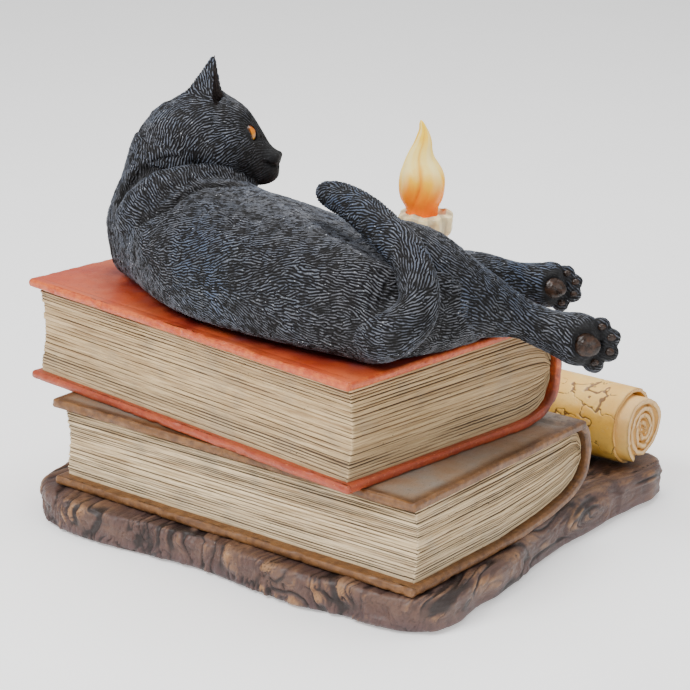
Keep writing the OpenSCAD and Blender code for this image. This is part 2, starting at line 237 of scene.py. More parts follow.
# ================================================================== PLANK
def make_plank():
    pts = np.array([[-90,-66],[-86,-77],[-74,-86],[-58,-89],[-40,-88],[-26,-86],[-6,-84],
      [18,-85.5],[40,-86],[58,-83],[70,-82.5],[80,-80.5],[88,-74],[91,-63],[89,-50],[89,-38],
      [87.5,-24],[84.5,-10],[83,6],[82.5,24],[82.5,42],[83,58],[83.5,70],[80,80],[70,85],[54,84],
      [34,85.5],[12,84],[-10,85],[-32,83],[-54,84.5],[-72,82],[-83,76],[-88,64],[-87,44],
      [-90,24],[-88,4],[-91,-16],[-89,-36],[-92,-52]], float)
    N = 1500
    R = resample(catmull(pts, 12, True), N)
    z0 = PLANK_LO[2]
    # vertical profile: inset against height; the sides bulge and the edges are round
    prof = [(4.0, z0), (2.0, z0), (0.8, z0 + 0.5), (0.1, z0 + 1.6)]
    for z in np.linspace(z0 + 2.4, PTOP - 3.4, 17):
        prof.append((0.0 + 0.25 * math.sin((z - z0) * 0.5), z))
    for a in np.linspace(5, 90, 13):
        prof.append((3.2 - 3.2 * math.cos(math.radians(a)), PTOP - 3.2 + 3.2 * math.sin(math.radians(a))))
    for d in np.concatenate([np.arange(3.8, 30, 0.62), np.arange(30.5, 40, 1.2), np.arange(41, 62, 2.2)]):
        prof.append((float(d), PTOP))
    prof = np.array(prof)
    M = len(prof)
    rad = np.linalg.norm(R, axis=1)
    # scale towards the middle, so that rings never cross
    V = np.zeros((N, M, 3))
    ang = np.arctan2(R[:, 1], R[:, 0])
    tang = np.roll(R, -1, 0) - np.roll(R, 1, 0); tang /= np.linalg.norm(tang, axis=1)[:, None]
    nrm = np.stack([tang[:, 1], -tang[:, 0]], 1)
    for j, (d, z) in enumerate(prof):
        k = np.clip(d / 12.0, 0, 1)
        byn = R - nrm * d
        byc = R * (1 - d / 80.0)[None] if np.isscalar(d) else R
        V[:, j, :2] = byn * (1 - k) + byc * k if d < 12 else byc
        V[:, j, 2] = z
    P = V.reshape(-1, 3)
    D = np.tile(prof[:, 0], N); Z = P[:, 2]
    side = np.repeat(nrm, M, 0)
    up = sstep(0.2, 3.2, D) * (Z > z0 + 3)          # 0 on the sides, 1 on the top
    outw = np.stack([side[:, 0] * (1 - up), side[:, 1] * (1 - up), up * 1.0], 1)
    outw[(Z < z0 + 0.3)] = 0
    # wood grain along Y, with warps and knots
    warp = fbm(P / [26, 60, 30], 3, 11) * 7 + fbm(P / [9, 30, 12], 2, 12) * 1.6
    knots = [(-70, -60, 12, 9), (30, -84, 8, 10), (86, -40, 9, 12), (60, 66, 13, 9), (-20, 62, 13, 8), (-84, 30, 10, 8), (86, 30, 9, 7)]
    for kx, ky, kz, kr in knots:
        d = np.sqrt(((P[:, 0] - kx) / kr) ** 2 + ((P[:, 1] - ky) / (kr * 1.8)) ** 2 + ((Z - kz) / kr) ** 2)
        warp += np.exp(-d * d) * 9
    X_ = P[:, 0] + warp + 0.9 * n1(Z / 3.1 + P[:, 0] / 14, 15, 2)
    q = np.stack([X_ / 3.3, P[:, 1] / 36 + warp / 16, Z / 10], 1)
    a = vnoise(q, 3); b = vnoise(q * [2.1, 1.7, 1.8] + 9, 4); c_ = vnoise(q * [4.4, 2.6, 3.0] + 31, 5)
    some = sstep(-0.55, 0.25, vnoise(P / [13, 24, 14], 7))
    ga = np.exp(-(a / 0.17) ** 2) * some; gb = np.exp(-(b / 0.19) ** 2) * sstep(-0.5, 0.3, vnoise(P / [10, 22, 10], 8)); gc = np.exp(-(c_ / 0.24) ** 2)
    crack = np.clip(np.maximum(ga, np.maximum(0.75 * gb, 0.38 * gc)), 0, 1)
    swell = fbm(P / [11, 24, 9], 3, 21)
    ends = sstep(0.55, 0.9, np.abs(side[:, 1])) * (1 - up)        # the two sawn ends show the wrinkles best
    h = 0.60 * swell + (0.34 + 0.25 * ends) * a + 0.20 * b + 0.10 * c_ - (0.62 + 0.5 * ends) * crack
    # bites along the rim
    h -= 1.1 * sstep(0.35, 0.9, vnoise(P / [9, 9, 7], 31)) * (1 - up) * sstep(z0 + 0.5, z0 + 3, Z)
    low = (Z < z0 + 3)
    # things stand on the top: keep it level under them
    lx, ly = P[:, 0], P[:, 1]
    under = sstep(1.0, -2.0, np.maximum.reduce([lx - 82, -78.5 - lx, ly - 20, -77.5 - ly]))
    lift = np.zeros(len(P))
    # the wood swells up towards the lower book's spine
    lift += 2.6 * sstep(66, 80, lx) * sstep(-34, -4, ly) * sstep(64, 40, ly) * sstep(95, 84, lx)
    h = h * (1 - 0.9 * under * up) - 0.5 * under * up
    cand = np.hypot(lx + 0.6, ly - 40)
    h = h * (1 - sstep(14, 9, cand) * up)
    scr = sstep(13, 6, np.abs(ly - 72)) * sstep(-42, -34, lx) * sstep(84, 76, lx)
    h = h * (1 - 0.85 * scr * up)
    P = P + outw * h[:, None]
    P[:, 2] += lift * up * 0.75
    # the underside stays flat
    P[:, 2] = np.where(low, np.maximum(P[:, 2], z0), P[:, 2])
    c_bot = len(P); c_top = c_bot + 1
    P = np.vstack([P, [[0, 0, z0], [0, 0, PTOP - 0.5]]])
    ext = lambda a: np.concatenate([a, [0, 0]])
    q4 = grid_faces(N, M, wrap_u=True)
    t3 = np.vstack([fan(np.arange(N) * M, c_bot, True), fan(np.arange(N) * M + M - 1, c_top)])
    o = add_mesh("base_plank_carved", P, q4, t3, {"crack": ext(crack), "high": ext(h), "top": ext(up), "grain": ext(a), "hz": ext(np.clip((Z - z0) / (PTOP - z0), 0, 1))})
    return o

def mat_plank():
    m = Mat("painted_bark_wood")
    crack, high, top, grain, hz = m.attr("crack"), m.attr("high"), m.attr("top"), m.attr("grain"), m.attr("hz")
    blotch = m.noise(0.06, 4, 0.6)
    fine = m.noise(1.5, 5, 0.7, m.stretch(1.0, 0.16, 0.5))
    base = m.ramp(blotch, [(0.30, (0.040, 0.019, 0.016)), (0.48, (0.088, 0.044, 0.034)), (0.62, (0.125, 0.064, 0.042)), (0.78, (0.082, 0.052, 0.050))])
    # grey-violet tone on the top face and low on the sides; tan dry-brushing on the raised wrinkles, also spread over
    # the upper half of the sides as a painted highlight
    base = m.mix(m.math("MULTIPLY", top, 0.55), base, m.ramp(m.noise(0.11, 3), [(0.3, (0.046, 0.026, 0.023)), (0.7, (0.095, 0.060, 0.054))]))
    base = m.mix(m.math("MULTIPLY", m.rng(hz, 0.5, 0.08), 0.5), base, (0.088, 0.048, 0.052))
    drybrush_and_highlight = m.math("ADD", m.math("MULTIPLY", high, 0.75), m.math("ADD", m.math("MULTIPLY", hz, 0.42), m.math("MULTIPLY", m.noise(0.13, 3), 0.8)))
    tan = m.rng(drybrush_and_highlight, 0.52, 1.02)
    side = m.math("SUBTRACT", 1.0, m.math("MULTIPLY", top, 0.60))
    base = m.mix(m.math("MULTIPLY", m.math("MULTIPLY", tan, side), 0.80), base, m.ramp(m.noise(0.3, 3), [(0.35, (0.20, 0.088, 0.034)), (0.6, (0.36, 0.185, 0.072))]))
    base = m.mix(m.math("MULTIPLY", m.rng(fine, 0.52, 0.70, 0, 0.6), m.rng(high, -0.4, 0.5)), base, (0.31, 0.175, 0.095))
    base = m.mix(m.rng(fine, 0.46, 0.30, 0, 0.6), base, (0.020, 0.009, 0.007))
    base = m.mix(m.rng(crack, 0.10, 0.80, 0, 0.90), base, (0.010, 0.005, 0.004))
    # pale specks over the wood: painted glints
    glint_spots = m.math("MULTIPLY", m.rng(m.voro(0.30), 0.060, 0.025), m.rng(m.noise(0.12, 2), 0.50, 0.62))
    base = m.mix(m.math("MULTIPLY", glint_spots, 0.75), base, (0.62, 0.52, 0.40))
    nb = m.bump(m.math("ADD", fine, m.math("MULTIPLY", m.noise(3.5, 3), 0.4)), 0.6, 0.40)
    return m.done(base, m.rng(fine, 0.3, 0.7, 0.40, 0.62), nb, Specular_IOR_Level=0.45, Coat_Weight=0.12, Coat_Roughness=0.3)

# ================================================================== BOOKS
def book_profile(outer, th):
    """Closed C outline as a centre line with normals: from the top fore edge round the spine to the bottom fore edge."""
    O = resample(catmull(np.array(outer, float), 10), 260, closed=False)
    t = np.gradient(O, axis=0); t /= np.linalg.norm(t, axis=1)[:, None]
    n = np.stack([-t[:, 1], t[:, 0]], 1)
    return O, n

def make_cover(name, outer, th, length, place, seed, rim=True):
    """outer: outline points (s, z) from the bottom fore edge round the spine to the top fore edge."""
    O, n = book_profile(outer, th)
    K = len(O)
    r = 1.15                      # roundness of every edge
    NS = 9
    # stations along the length, close together at both ends
    xs, ins = [], []
    for a in np.linspace(0, 90, NS):
        xs.append(r * (1 - math.sin(math.radians(a)))); ins.append(r * (1 - math.cos(math.radians(a))))
    xs = xs[::-1]; ins = ins[::-1]   # from the end inwards
    xs = [0.0 + r * (1 - math.sin(math.radians(a))) for a in np.linspace(0, 90, NS)][::-1]
    ins = [r * (1 - math.cos(math.radians(90 - a))) for a in np.linspace(0, 90, NS)]
    st = [(0 + x, i) for x, i in zip([r * (1 - math.cos(math.radians(a))) for a in np.linspace(0, 90, NS)],
                                      [r * (1 - math.sin(math.radians(a))) for a in np.linspace(0, 90, NS)])]
    mid = [(x, 0.0) for x in np.linspace(r + 1.2, length - r - 1.2, 120)]
    end = [(length - x, i) for x, i in st[::-1]]
    st = st + mid + end
    S = len(st)
    # cross section: outer run, rounded nose, inner run back, rounded nose
    NN = 9
    sec_n = K + NN + K + NN
    V = np.zeros((S, sec_n, 3))
    for j, (x, i) in enumerate(st):
        t2 = th / 2 - i
        C = O + n * (th / 2)
        d0 = (C[1] - C[0]) / np.linalg.norm(C[1] - C[0]); d1 = (C[-1] - C[-2]) / np.linalg.norm(C[-1] - C[-2])
        outr = C - n * t2; innr = C + n * t2
        # pull both fore edges in at the ends of the book, for round corners
        pull = i
        rr = min(r, t2)
        def nose(c, dirv, nn, a0, a1):
            return np.array([c + dirv * (rr * math.sin(math.radians(a)) - 0) + nn * (t2 - rr) * np.sign(math.cos(math.radians(a))) * (1 if abs(math.cos(math.radians(a))) > 1e-6 else 0) + nn * rr * math.cos(math.radians(a)) for a in np.linspace(a0, a1, NN)])
        e1 = nose(C[-1] - d1 * (rr + pull), d1, -n[-1], 0, 180)
        e0 = nose(C[0] + d0 * (rr + pull), -d0, n[0], 0, 180)
        f = np.clip((np.arange(K) / (K - 1)), 0, 1)
        ou = outr.copy(); iu = innr.copy()
        # keep runs short of the noses
        for arr in (ou, iu):
            w0 = np.clip(1 - np.arange(K) / 6.0, 0, 1)[:, None]; w1 = w0[::-1]
            arr += d0 * (rr + pull) * w0 - d1 * (rr + pull) * w1
        V[j, :K, 1:] = ou
        V[j, K:K + NN, 1:] = e1
        V[j, K + NN:2 * K + NN, 1:] = iu[::-1]
        V[j, 2 * K + NN:, 1:] = e0
        V[j, :, 0] = x - length
    P = V.reshape(-1, 3)
    # hand-made waviness, dents on the edges
    top = np.zeros((S, sec_n)); top[:, :K] = 1
    d_end = np.minimum(P[:, 0] + length, -P[:, 0])
    d_fore = P[:, 1]
    edge = np.minimum(d_end, np.maximum(d_fore, 0.0))
    wob = fbm(P / [34, 34, 34], 2, seed) * 0.26
    nick = -0.5 * sstep(0.45, 0.9, vnoise(P / [2.6, 2.6, 2.6], seed + 2)) * sstep(2.2, 0.3, edge)
    nick += 0.16 * vnoise(P / [1.5, 1.5, 1.5], seed + 5) * sstep(2.5, 0.5, edge)
    zmid = (O[:, 1].min() + O[:, 1].max()) / 2
    sg = np.sign(P[:, 2] - zmid)
    outside = top.ravel() > 0.5
    spine = sstep(84, 96, P[:, 1])
    line = np.exp(-((edge - 4.2) / 0.42) ** 2) * (1 - spine) if rim else np.zeros(len(P))
    # the joint: a groove along the hinge of each board
    joint = np.exp(-((P[:, 1] - 90.5) / 2.0) ** 2) * 0.9 * sstep(1.0, 6.0, d_end)
    hgt = wob + np.where(outside, -0.22 * line - joint, 0) + np.where(outside, nick, nick * 0.3)
    # keep faces that touch other pieces from lifting above them
    lim = np.where(P[:, 2] < zmid, np.minimum(hgt, 0.0), np.minimum(hgt, 0.05))
    nn = np.zeros((S, sec_n, 3))
    nn[:, :K, 1:] = -n; nn[:, K + NN:2 * K + NN, 1:] = n[::-1] * 0.0
    nv = nn.reshape(-1, 3)
    inn = np.zeros((S, sec_n)); inn[:, K:K + NN] = 1; inn[:, 2 * K + NN:] = 1
    P = P + nv * lim[:, None]
    P[:, 1] += np.where(inn.ravel() > 0.5, 0.30 * fbm(P / [13, 9, 3], 3, seed + 9) - np.minimum(nick, 0) * 1.4, 0)
    endw = sstep(1.3, 0.2, d_end)
    P[:, 0] += np.where(P[:, 0] > -length / 2, 1, -1) * endw * 0.26 * fbm(P / [3, 12, 5], 3, seed + 12)
    # end caps: quads between the outer and the inner run
    def cap(j, flip):
        b = j * sec_n; q = []
        for k in range(K - 1):
            q.append([b + k, b + k + 1, b + (2 * K + NN - 1) - (k + 1), b + (2 * K + NN - 1) - k])
        q = np.array(q)
        return q[:, ::-1] if flip else q
    def nosecap(j, flip):
        b = j * sec_n; t = []
        ring1 = list(range(K - 1, K + NN + 1)); ring0 = list(range(2 * K + NN - 1, 2 * K + 2 * NN)) + [0]
        for ring in (ring1, ring0):
            for a in range(1, len(ring) - 1):
                t.append([b + ring[0], b + ring[a], b + ring[a + 1]])
        t = np.array(t)
        return t[:, ::-1] if flip else t
    q4 = np.vstack([grid_faces(S, sec_n, wrap_v=True), cap(0, False), cap(S - 1, True)])
    t3 = np.vstack([nosecap(0, False), nosecap(S - 1, True)])
    W = place(P)
    e2 = np.where(outside, edge, 0.0)
    o = add_mesh(name, W, q4, t3, {"edge": np.clip(e2, 0, 30), "line": line * outside, "outside": outside.astype(float), "spine": spine})
    # consistent outward normals
    import bmesh
    bm = bmesh.new(); bm.from_mesh(o.data); bmesh.ops.recalc_face_normals(bm, faces=bm.faces); bm.to_mesh(o.data); bm.free()
    return o

def place_low(P): return P + [83.2, -78.7, LOW_Z]
_ta = math.radians(-6.7)
def place_up(P):
    Q = P.copy(); x = P[:, 0] * math.cos(_ta) - P[:, 1] * math.sin(_ta); y = P[:, 0] * math.sin(_ta) + P[:, 1] * math.cos(_ta)
    Q[:, 0] = x + 62; Q[:, 1] = y - 86; Q[:, 2] = P[:, 2] + UP_Z
    return Q

def up_outer(h):
    return [[0,0],[20,0],[60,0],[84,0],[92,0.8],[98,2.6],[102,5.6],[104.6,10.5],[105.6,17],[105.6,h-17],
      [104.6,h-10.5],[102,h-5.6],[98,h-2.6],[92,h-0.8],[84,h],[60,h],[20,h],[0,h]]
def low_outer(h):
    return [[0,0],[20,0],[52,0],[76,2],[90,4.6],[98,7.8],[102.6,12],[104.6,17.5],[104.7,22],
      [103.4,27.4],[100.6,30.8],[96.5,h],[60,h],[20,h],[0,h]]

def make_pages(name, length, inset, fore, smax, low, top, place, seed, thick=1.0):
    """Page block as real uneven layers that follow the boards: fore is (z, s), low and top are (s, z)."""
    NZ = 270
    zeta = np.linspace(0, 1, NZ)
    fz, fs = zip(*fore); ls, lz = zip(*low); ts, tz = zip(*top)
    z0, z1 = fz[0], fz[-1]
    zz = z0 + (z1 - z0) * zeta
    fy = np.interp(zz, fz, fs)
    xa, xb = -length + inset, -inset
    nf, ne = 330, 230
    U = [(0, 1 - u) for u in np.linspace(0, 1, ne, endpoint=False)] + [(1, u) for u in np.linspace(0, 1, nf, endpoint=False)] \
        + [(2, u) for u in np.linspace(0, 1, ne, endpoint=False)] + [(3, u) for u in np.linspace(0, 1, 12, endpoint=False)]
    U = np.array(U); N = len(U)
    P = np.zeros((N, NZ, 3)); T = np.zeros((N, NZ)); nrm = np.zeros((N, NZ, 3)); face = np.repeat(U[:, 0:1], NZ, 1)
    for k, (f, u) in enumerate(U):
        if f in (0, 2):
            s = fy + (smax - fy) * u
            P[k, :, 0] = xa if f == 0 else xb; nrm[k, :, 0] = -1 if f == 0 else 1
            T[k] = -s if f == 0 else (xb - xa) + s
        elif f == 1:
            s = fy; P[k, :, 0] = xa + (xb - xa) * u; nrm[k, :, 1] = -1; T[k] = (xb - xa) * u
        else:
            s = np.full(NZ, smax); P[k, :, 0] = xb + (xa - xb) * u; T[k] = 500
        P[k, :, 1] = s
        a = np.interp(s, ls, lz); b = np.interp(s, ts, tz)
        P[k, :, 2] = a + (b - a) * zeta
    rs = np.random.RandomState(seed)
    zb = [z0]
    while zb[-1] < z1: zb.append(zb[-1] + rs.choice([0.72, 0.9, 1.05, 1.2, 1.5]) * thick * rs.uniform(0.88, 1.12))
    zb = np.array(zb[1:-1])
    Zf = np.repeat(zz[None], N, 0); Tf = T
    groove = np.zeros((N, NZ)); idx = np.zeros((N, NZ), int)
    tt = Tf.ravel()
    for k, b in enumerate(zb):
        drift = (0.20 * n1(tt / 60 + k * 0.05, seed + 3, 2) + 0.07 * n1(tt / 11 + k * 1.1, seed + 4, 2)).reshape(N, NZ)
        amp = np.clip(0.82 + 0.55 * n1(tt / 24 + k * 5.7, seed + 5, 3), 0.12, 1.25).reshape(N, NZ) * rs.uniform(0.55, 1.0)
        dz = Zf - (b + drift)
        w = rs.uniform(0.17, 0.30)
        groove = np.maximum(groove, amp * np.exp(-(dz / w) ** 2))
        idx += (dz > 0)
    lay = rs.uniform(-1, 1, len(zb) + 2)
    offs = lay[np.clip(idx, 0, len(lay) - 1)]
    wav = n1(tt / 23 + idx.ravel() * 7.3, seed + 6, 2).reshape(N, NZ)
    fine = vnoise(np.stack([tt / 7, Zf.ravel() / 0.34, tt * 0], 1), seed + 8).reshape(N, NZ)
    chip = sstep(0.55, 0.95, vnoise(np.stack([tt / 2.2, Zf.ravel() / 1.1, tt * 0], 1), seed + 10).reshape(N, NZ))
    corner = np.exp(-np.minimum(np.abs(Tf - xa * 0), np.abs(Tf - (xb - xa))) / 1.6) * 0
    dc = np.where(face == 1, np.minimum(Tf, (xb - xa) - Tf), np.where(face == 3, 99, P[..., 1] - np.repeat(fy[None], N, 0)))
    corner = np.exp(-np.abs(dc) / 1.5)
    hinge = np.where((face == 0) | (face == 2), np.exp(-(smax - P[..., 1]) / 1.7), 0)
    d = 0.12 * offs + 0.10 * wav + 0.035 * fine - 0.44 * groove - 0.16 * chip * (face < 3)
    d += corner * (0.30 * offs - 0.22)
    d += hinge * (0.55 * offs + 0.15)
    d = np.where(face == 3, 0, d)
    P = P + nrm * np.clip(d, -1.0, 0.55)[..., None]
    V = P.reshape(-1, 3)
    c0 = len(V); V = np.vstack([V, [[(xa + xb) / 2, 45, z0], [(xa + xb) / 2, 45, z1]]])
    e = lambda a: np.concatenate([np.asarray(a, float).ravel(), [0, 0]])
    q4 = grid_faces(N, NZ, wrap_u=True)
    t3 = np.vstack([fan(np.arange(N) * NZ, c0, True), fan(np.arange(N) * NZ + NZ - 1, c0 + 1)])
    o = add_mesh(name, place(V), q4, t3, {"groove": e(np.clip(groove, 0, 1)), "layer": e(offs * 0.5 + 0.5), "rel": e(np.repeat(zeta[None], N, 0)),
        "run": e(np.where(face == 2, np.clip(P[..., 1] / 100, 0, 1), 0.0)), "corner": e(np.clip(corner + hinge, 0, 1)), "endface": e((face != 1) * 1.0), "lz": e(np.repeat((zeta * (z1 - z0))[None], N, 0)), "lt": e(T)})
    return o

def mat_pages(name, light, mid, stain_and_shade, cool, dark, seed):
    m = Mat(name)
    g, lay, rel, run, cor, lz, lt = [m.attr(k) for k in ("groove", "layer", "rel", "run", "corner", "lz", "lt")]
    cb = m.node("ShaderNodeCombineXYZ"); m.put(lt, cb.inputs[0]); m.put(lz, cb.inputs[1]); vec = cb.outputs[0]
    streak = m.noise(1.0, 4, 0.65, m.stretch(0.055, 2.3, 1, vec))
    streak2 = m.noise(1.0, 3, 0.6, m.stretch(0.022, 0.75, 1, vec))
    hair = m.noise(1.0, 3, 0.6, m.stretch(0.10, 6.0, 1, vec))
    c = m.mix(m.rng(streak, 0.36, 0.62), mid, light)
    c = m.mix(m.math("MULTIPLY", lay, 0.30), c, light)
    c = m.mix(m.rng(streak2, 0.42, 0.68, 0, 0.60), c, stain_and_shade)
    # a darker brown on the tail end face that grows towards the spine and the top
    far = m.math("MULTIPLY", m.rng(run, 0.15, 0.95), m.rng(rel, 0.25, 0.95))
    c = m.mix(m.math("MULTIPLY", far, 0.40), c, stain_and_shade)
    # the whole tail end face a little browner: painted shade on the side away from the key light
    c = m.mix(m.math("MULTIPLY", m.rng(run, 0.0, 0.12), 0.30), c, m.mix(0.5, stain_and_shade, mid))
    c = m.mix(m.math("MULTIPLY", m.rng(rel, 0.45, 0.1), 0.30), c, cool)
    c = m.mix(m.rng(m.noise(0.09, 3), 0.50, 0.72, 0, 0.45), c, cool)
    c = m.mix(m.rng(hair, 0.50, 0.36, 0, 0.45), c, m.mix(0.5, dark, stain_and_shade))
    c = m.mix(m.rng(cor, 0.35, 0.95, 0, 0.60), c, light)
    c = m.mix(m.rng(g, 0.10, 0.70, 0, 0.90), c, dark)
    speck_and_glint = m.voro(0.42, vec=m.stretch(0.55, 0.55, 1.5))
    c = m.mix(m.math("MULTIPLY", m.rng(speck_and_glint, 0.12, 0.05), m.rng(m.noise(0.2, 2), 0.5, 0.62)), c, (0.045, 0.028, 0.015))
    nb = m.bump(m.math("ADD", hair, m.math("MULTIPLY", streak, 0.6)), 0.5, 0.16)
    return m.done(c, m.rng(streak, 0.3, 0.7, 0.46, 0.64), nb, Specular_IOR_Level=0.38)

def mat_cover_red():
    m = Mat("painted_red_boards")
    edge, line, spine = m.attr("edge"), m.attr("line"), m.attr("spine")
    big = m.noise(0.035, 4, 0.6); medn = m.noise(0.16, 4, 0.62); fine = m.noise(1.1, 4, 0.65)
    c = m.ramp(big, [(0.3, (0.38, 0.036, 0.010)), (0.5, (0.50, 0.078, 0.020)), (0.7, (0.54, 0.118, 0.038))])
    x, y, z = m.xyz()
    # darker crimson and violet round the cat: painted shade of the cat on the boards
    painted_cat_shade = m.attr("painted_cat_shade")
    c = m.mix(m.rng(painted_cat_shade, 0.15, 0.9, 0, 0.9), c, m.ramp(medn, [(0.36, (0.10, 0.003, 0.004)), (0.5, (0.15, 0.009, 0.010)), (0.66, (0.12, 0.022, 0.030))]))
    c = m.mix(m.math("MULTIPLY", m.rng(painted_cat_shade, 0.3, 1.0), m.rng(fine, 0.55, 0.75, 0, 0.35)), c, (0.22, 0.11, 0.12))
    # darker brownish red towards the bottom of the boards: painted shade
    low_painted_shade = m.rng(z, UP_Z + 14, UP_Z + 4, 0, 0.80)
    c = m.mix(low_painted_shade, c, m.ramp(medn, [(0.35, (0.150, 0.022, 0.014)), (0.6, (0.250, 0.040, 0.020))]))
    # bright worn orange on the rounded edges, dimmed towards the bottom as painted shade
    c = m.mix(m.math("MULTIPLY", m.rng(edge, 1.7, 0.3, 0, 0.75), m.rng(z, UP_Z + 4, UP_Z + 16, 0.35, 1.0)), c, m.ramp(m.noise(0.5, 3), [(0.35, (0.40, 0.045, 0.008)), (0.65, (0.60, 0.130, 0.024))]))
    c = m.mix(m.math("MULTIPLY", m.rng(edge, 1.2, 0.2), m.rng(fine, 0.60, 0.72, 0, 0.7)), c, (0.66, 0.22, 0.085))
    c = m.mix(m.rng(line, 0.3, 1.0, 0, 0.50), c, (0.18, 0.014, 0.006))
    c = m.mix(m.math("MULTIPLY", spine, m.rng(medn, 0.40, 0.60, 0, 0.75)), c, (0.090, 0.022, 0.014))
    rub = m.rng(m.noise(0.45, 5, 0.75), 0.60, 0.70)
    c = m.mix(m.math("MULTIPLY", rub, 0.55), c, (0.115, 0.042, 0.026))
    c = m.mix(m.rng(fine, 0.42, 0.27, 0, 0.7), c, (0.13, 0.008, 0.005))
    nb = m.bump(m.math("ADD", m.noise(0.9, 5, 0.65), m.math("MULTIPLY", m.noise(4.0, 2), 0.35)), 0.35, 0.28)
    return m.done(c, m.rng(medn, 0.3, 0.7, 0.36, 0.52), nb, Specular_IOR_Level=0.45, Coat_Weight=0.12, Coat_Roughness=0.3)

def mat_cover_brown():
    m = Mat("painted_brown_boards")
    edge, line, spine, outs = m.attr("edge"), m.attr("line"), m.attr("spine"), m.attr("outside")
    big = m.noise(0.05, 4, 0.6); medn = m.noise(0.22, 4, 0.62); fine = m.noise(1.1, 4, 0.65)
    x, y, z = m.xyz()
    top = m.math("MULTIPLY", m.rng(z, UP_Z - 1.2, UP_Z - 0.5), outs)
    c = m.ramp(m.noise(0.12, 3), [(0.3, (0.050, 0.021, 0.008)), (0.5, (0.092, 0.042, 0.016)), (0.7, (0.155, 0.074, 0.026))])
    grey = m.ramp(big, [(0.32, (0.190, 0.096, 0.042)), (0.5, (0.225, 0.148, 0.092)), (0.66, (0.205, 0.172, 0.138))])
    c = m.mix(m.math("MULTIPLY", top, m.rng(edge, 1.5, 6.0)), c, grey)
    c = m.mix(m.rng(edge, 1.8, 0.3, 0, 0.6), c, m.ramp(m.noise(0.4, 3), [(0.35, (0.115, 0.043, 0.011)), (0.65, (0.27, 0.115, 0.030))]))
    c = m.mix(m.math("MULTIPLY", spine, m.rng(medn, 0.42, 0.62, 0, 0.75)), c, m.ramp(fine, [(0.4, (0.030, 0.014, 0.008)), (0.6, (0.095, 0.062, 0.046))]))
    c = m.mix(m.rng(fine, 0.42, 0.28, 0, 0.7), c, (0.020, 0.008, 0.004))
    c = m.mix(m.rng(m.noise(0.8, 3), 0.64, 0.74, 0, 0.55), c, (0.25, 0.145, 0.075))
    nb = m.bump(m.math("ADD", m.noise(0.9, 5, 0.65), m.math("MULTIPLY", m.noise(3.6, 2), 0.35)), 0.45, 0.32)
    return m.done(c, m.rng(medn, 0.3, 0.7, 0.38, 0.55), nb, Specular_IOR_Level=0.45, Coat_Weight=0.10, Coat_Roughness=0.3)

# ================================================================== build the plank and the books
plank = piece(make_plank(), mat_plank(), ["base_plank"])
low_cover = piece(make_cover("lower_book_boards", low_outer(LOW_H), 3.2, 160.8, place_low, 41), mat_cover_brown(), ["lower_book_cover"])
up_cover = make_cover("upper_book_boards", up_outer(UP_H), 3.0, 162.5, place_up, 61)

piece(make_pages("lower_book_leaves", 160.8, 2.6, [(3.2,4.4),(8,4.8),(14,5.8),(20,5.8),(LOW_H-7,4.8),(LOW_H-3.2,4.4)], 101.0,
    [(0,3.2),(52,3.2),(75,5.3),(89,8),(96,11),(99.4,14),(101,18)], [(0,LOW_H-3.2),(95,LOW_H-3.2),(98.4,LOW_H-4.8),(100.2,LOW_H-7.8),(101,21.4)], place_low, 71, 1.05),
    mat_pages("aged_leaves_pale", (0.84, 0.66, 0.41), (0.60, 0.44, 0.23), (0.28, 0.155, 0.055), (0.43, 0.36, 0.25), (0.035, 0.016, 0.006), 1), ["lower_book_pages"])
piece(make_pages("upper_book_leaves", 162.5, 2.6, [(3.0,2.8),(8,3.4),(14,4.9),(19,5.2),(28,4.6),(UP_H-3.0,3.4)], 101.8,
    [(0,3),(84,3),(91,3.7),(95.6,5.1),(99,7.6),(101.2,13.5),(102,16.5)], [(0,UP_H-3),(84,UP_H-3),(91,UP_H-3.7),(95.6,UP_H-5.1),(99,UP_H-7.6),(101.2,UP_H-13.5),(102,UP_H-17)], place_up, 81, 1.1),
    mat_pages("aged_leaves_cream", (0.66, 0.48, 0.26), (0.42, 0.28, 0.125), (0.21, 0.105, 0.033), (0.33, 0.26, 0.165), (0.030, 0.012, 0.004), 2), ["upper_book_pages"])

# ================================================================== SCROLL
def cells(P, seed):
    """Distance to the nearest and second nearest scattered point."""
    i = np.floor(P).astype(np.int64); f1 = np.full(len(P), 9.0); f2 = f1.copy()
    for dx in (-1, 0, 1):
        for dy in (-1, 0, 1):
            for dz in (-1, 0, 1):
                c = i + [dx, dy, dz]
                q = np.stack([_hash(c[:, 0], c[:, 1], c[:, 2], seed + k) for k in (0, 50, 90)], 1) + c
                d = np.linalg.norm(P - q, axis=1)
                f2 = np.minimum(f2, np.maximum(f1, d)); f1 = np.minimum(f1, d)
    return f1, f2

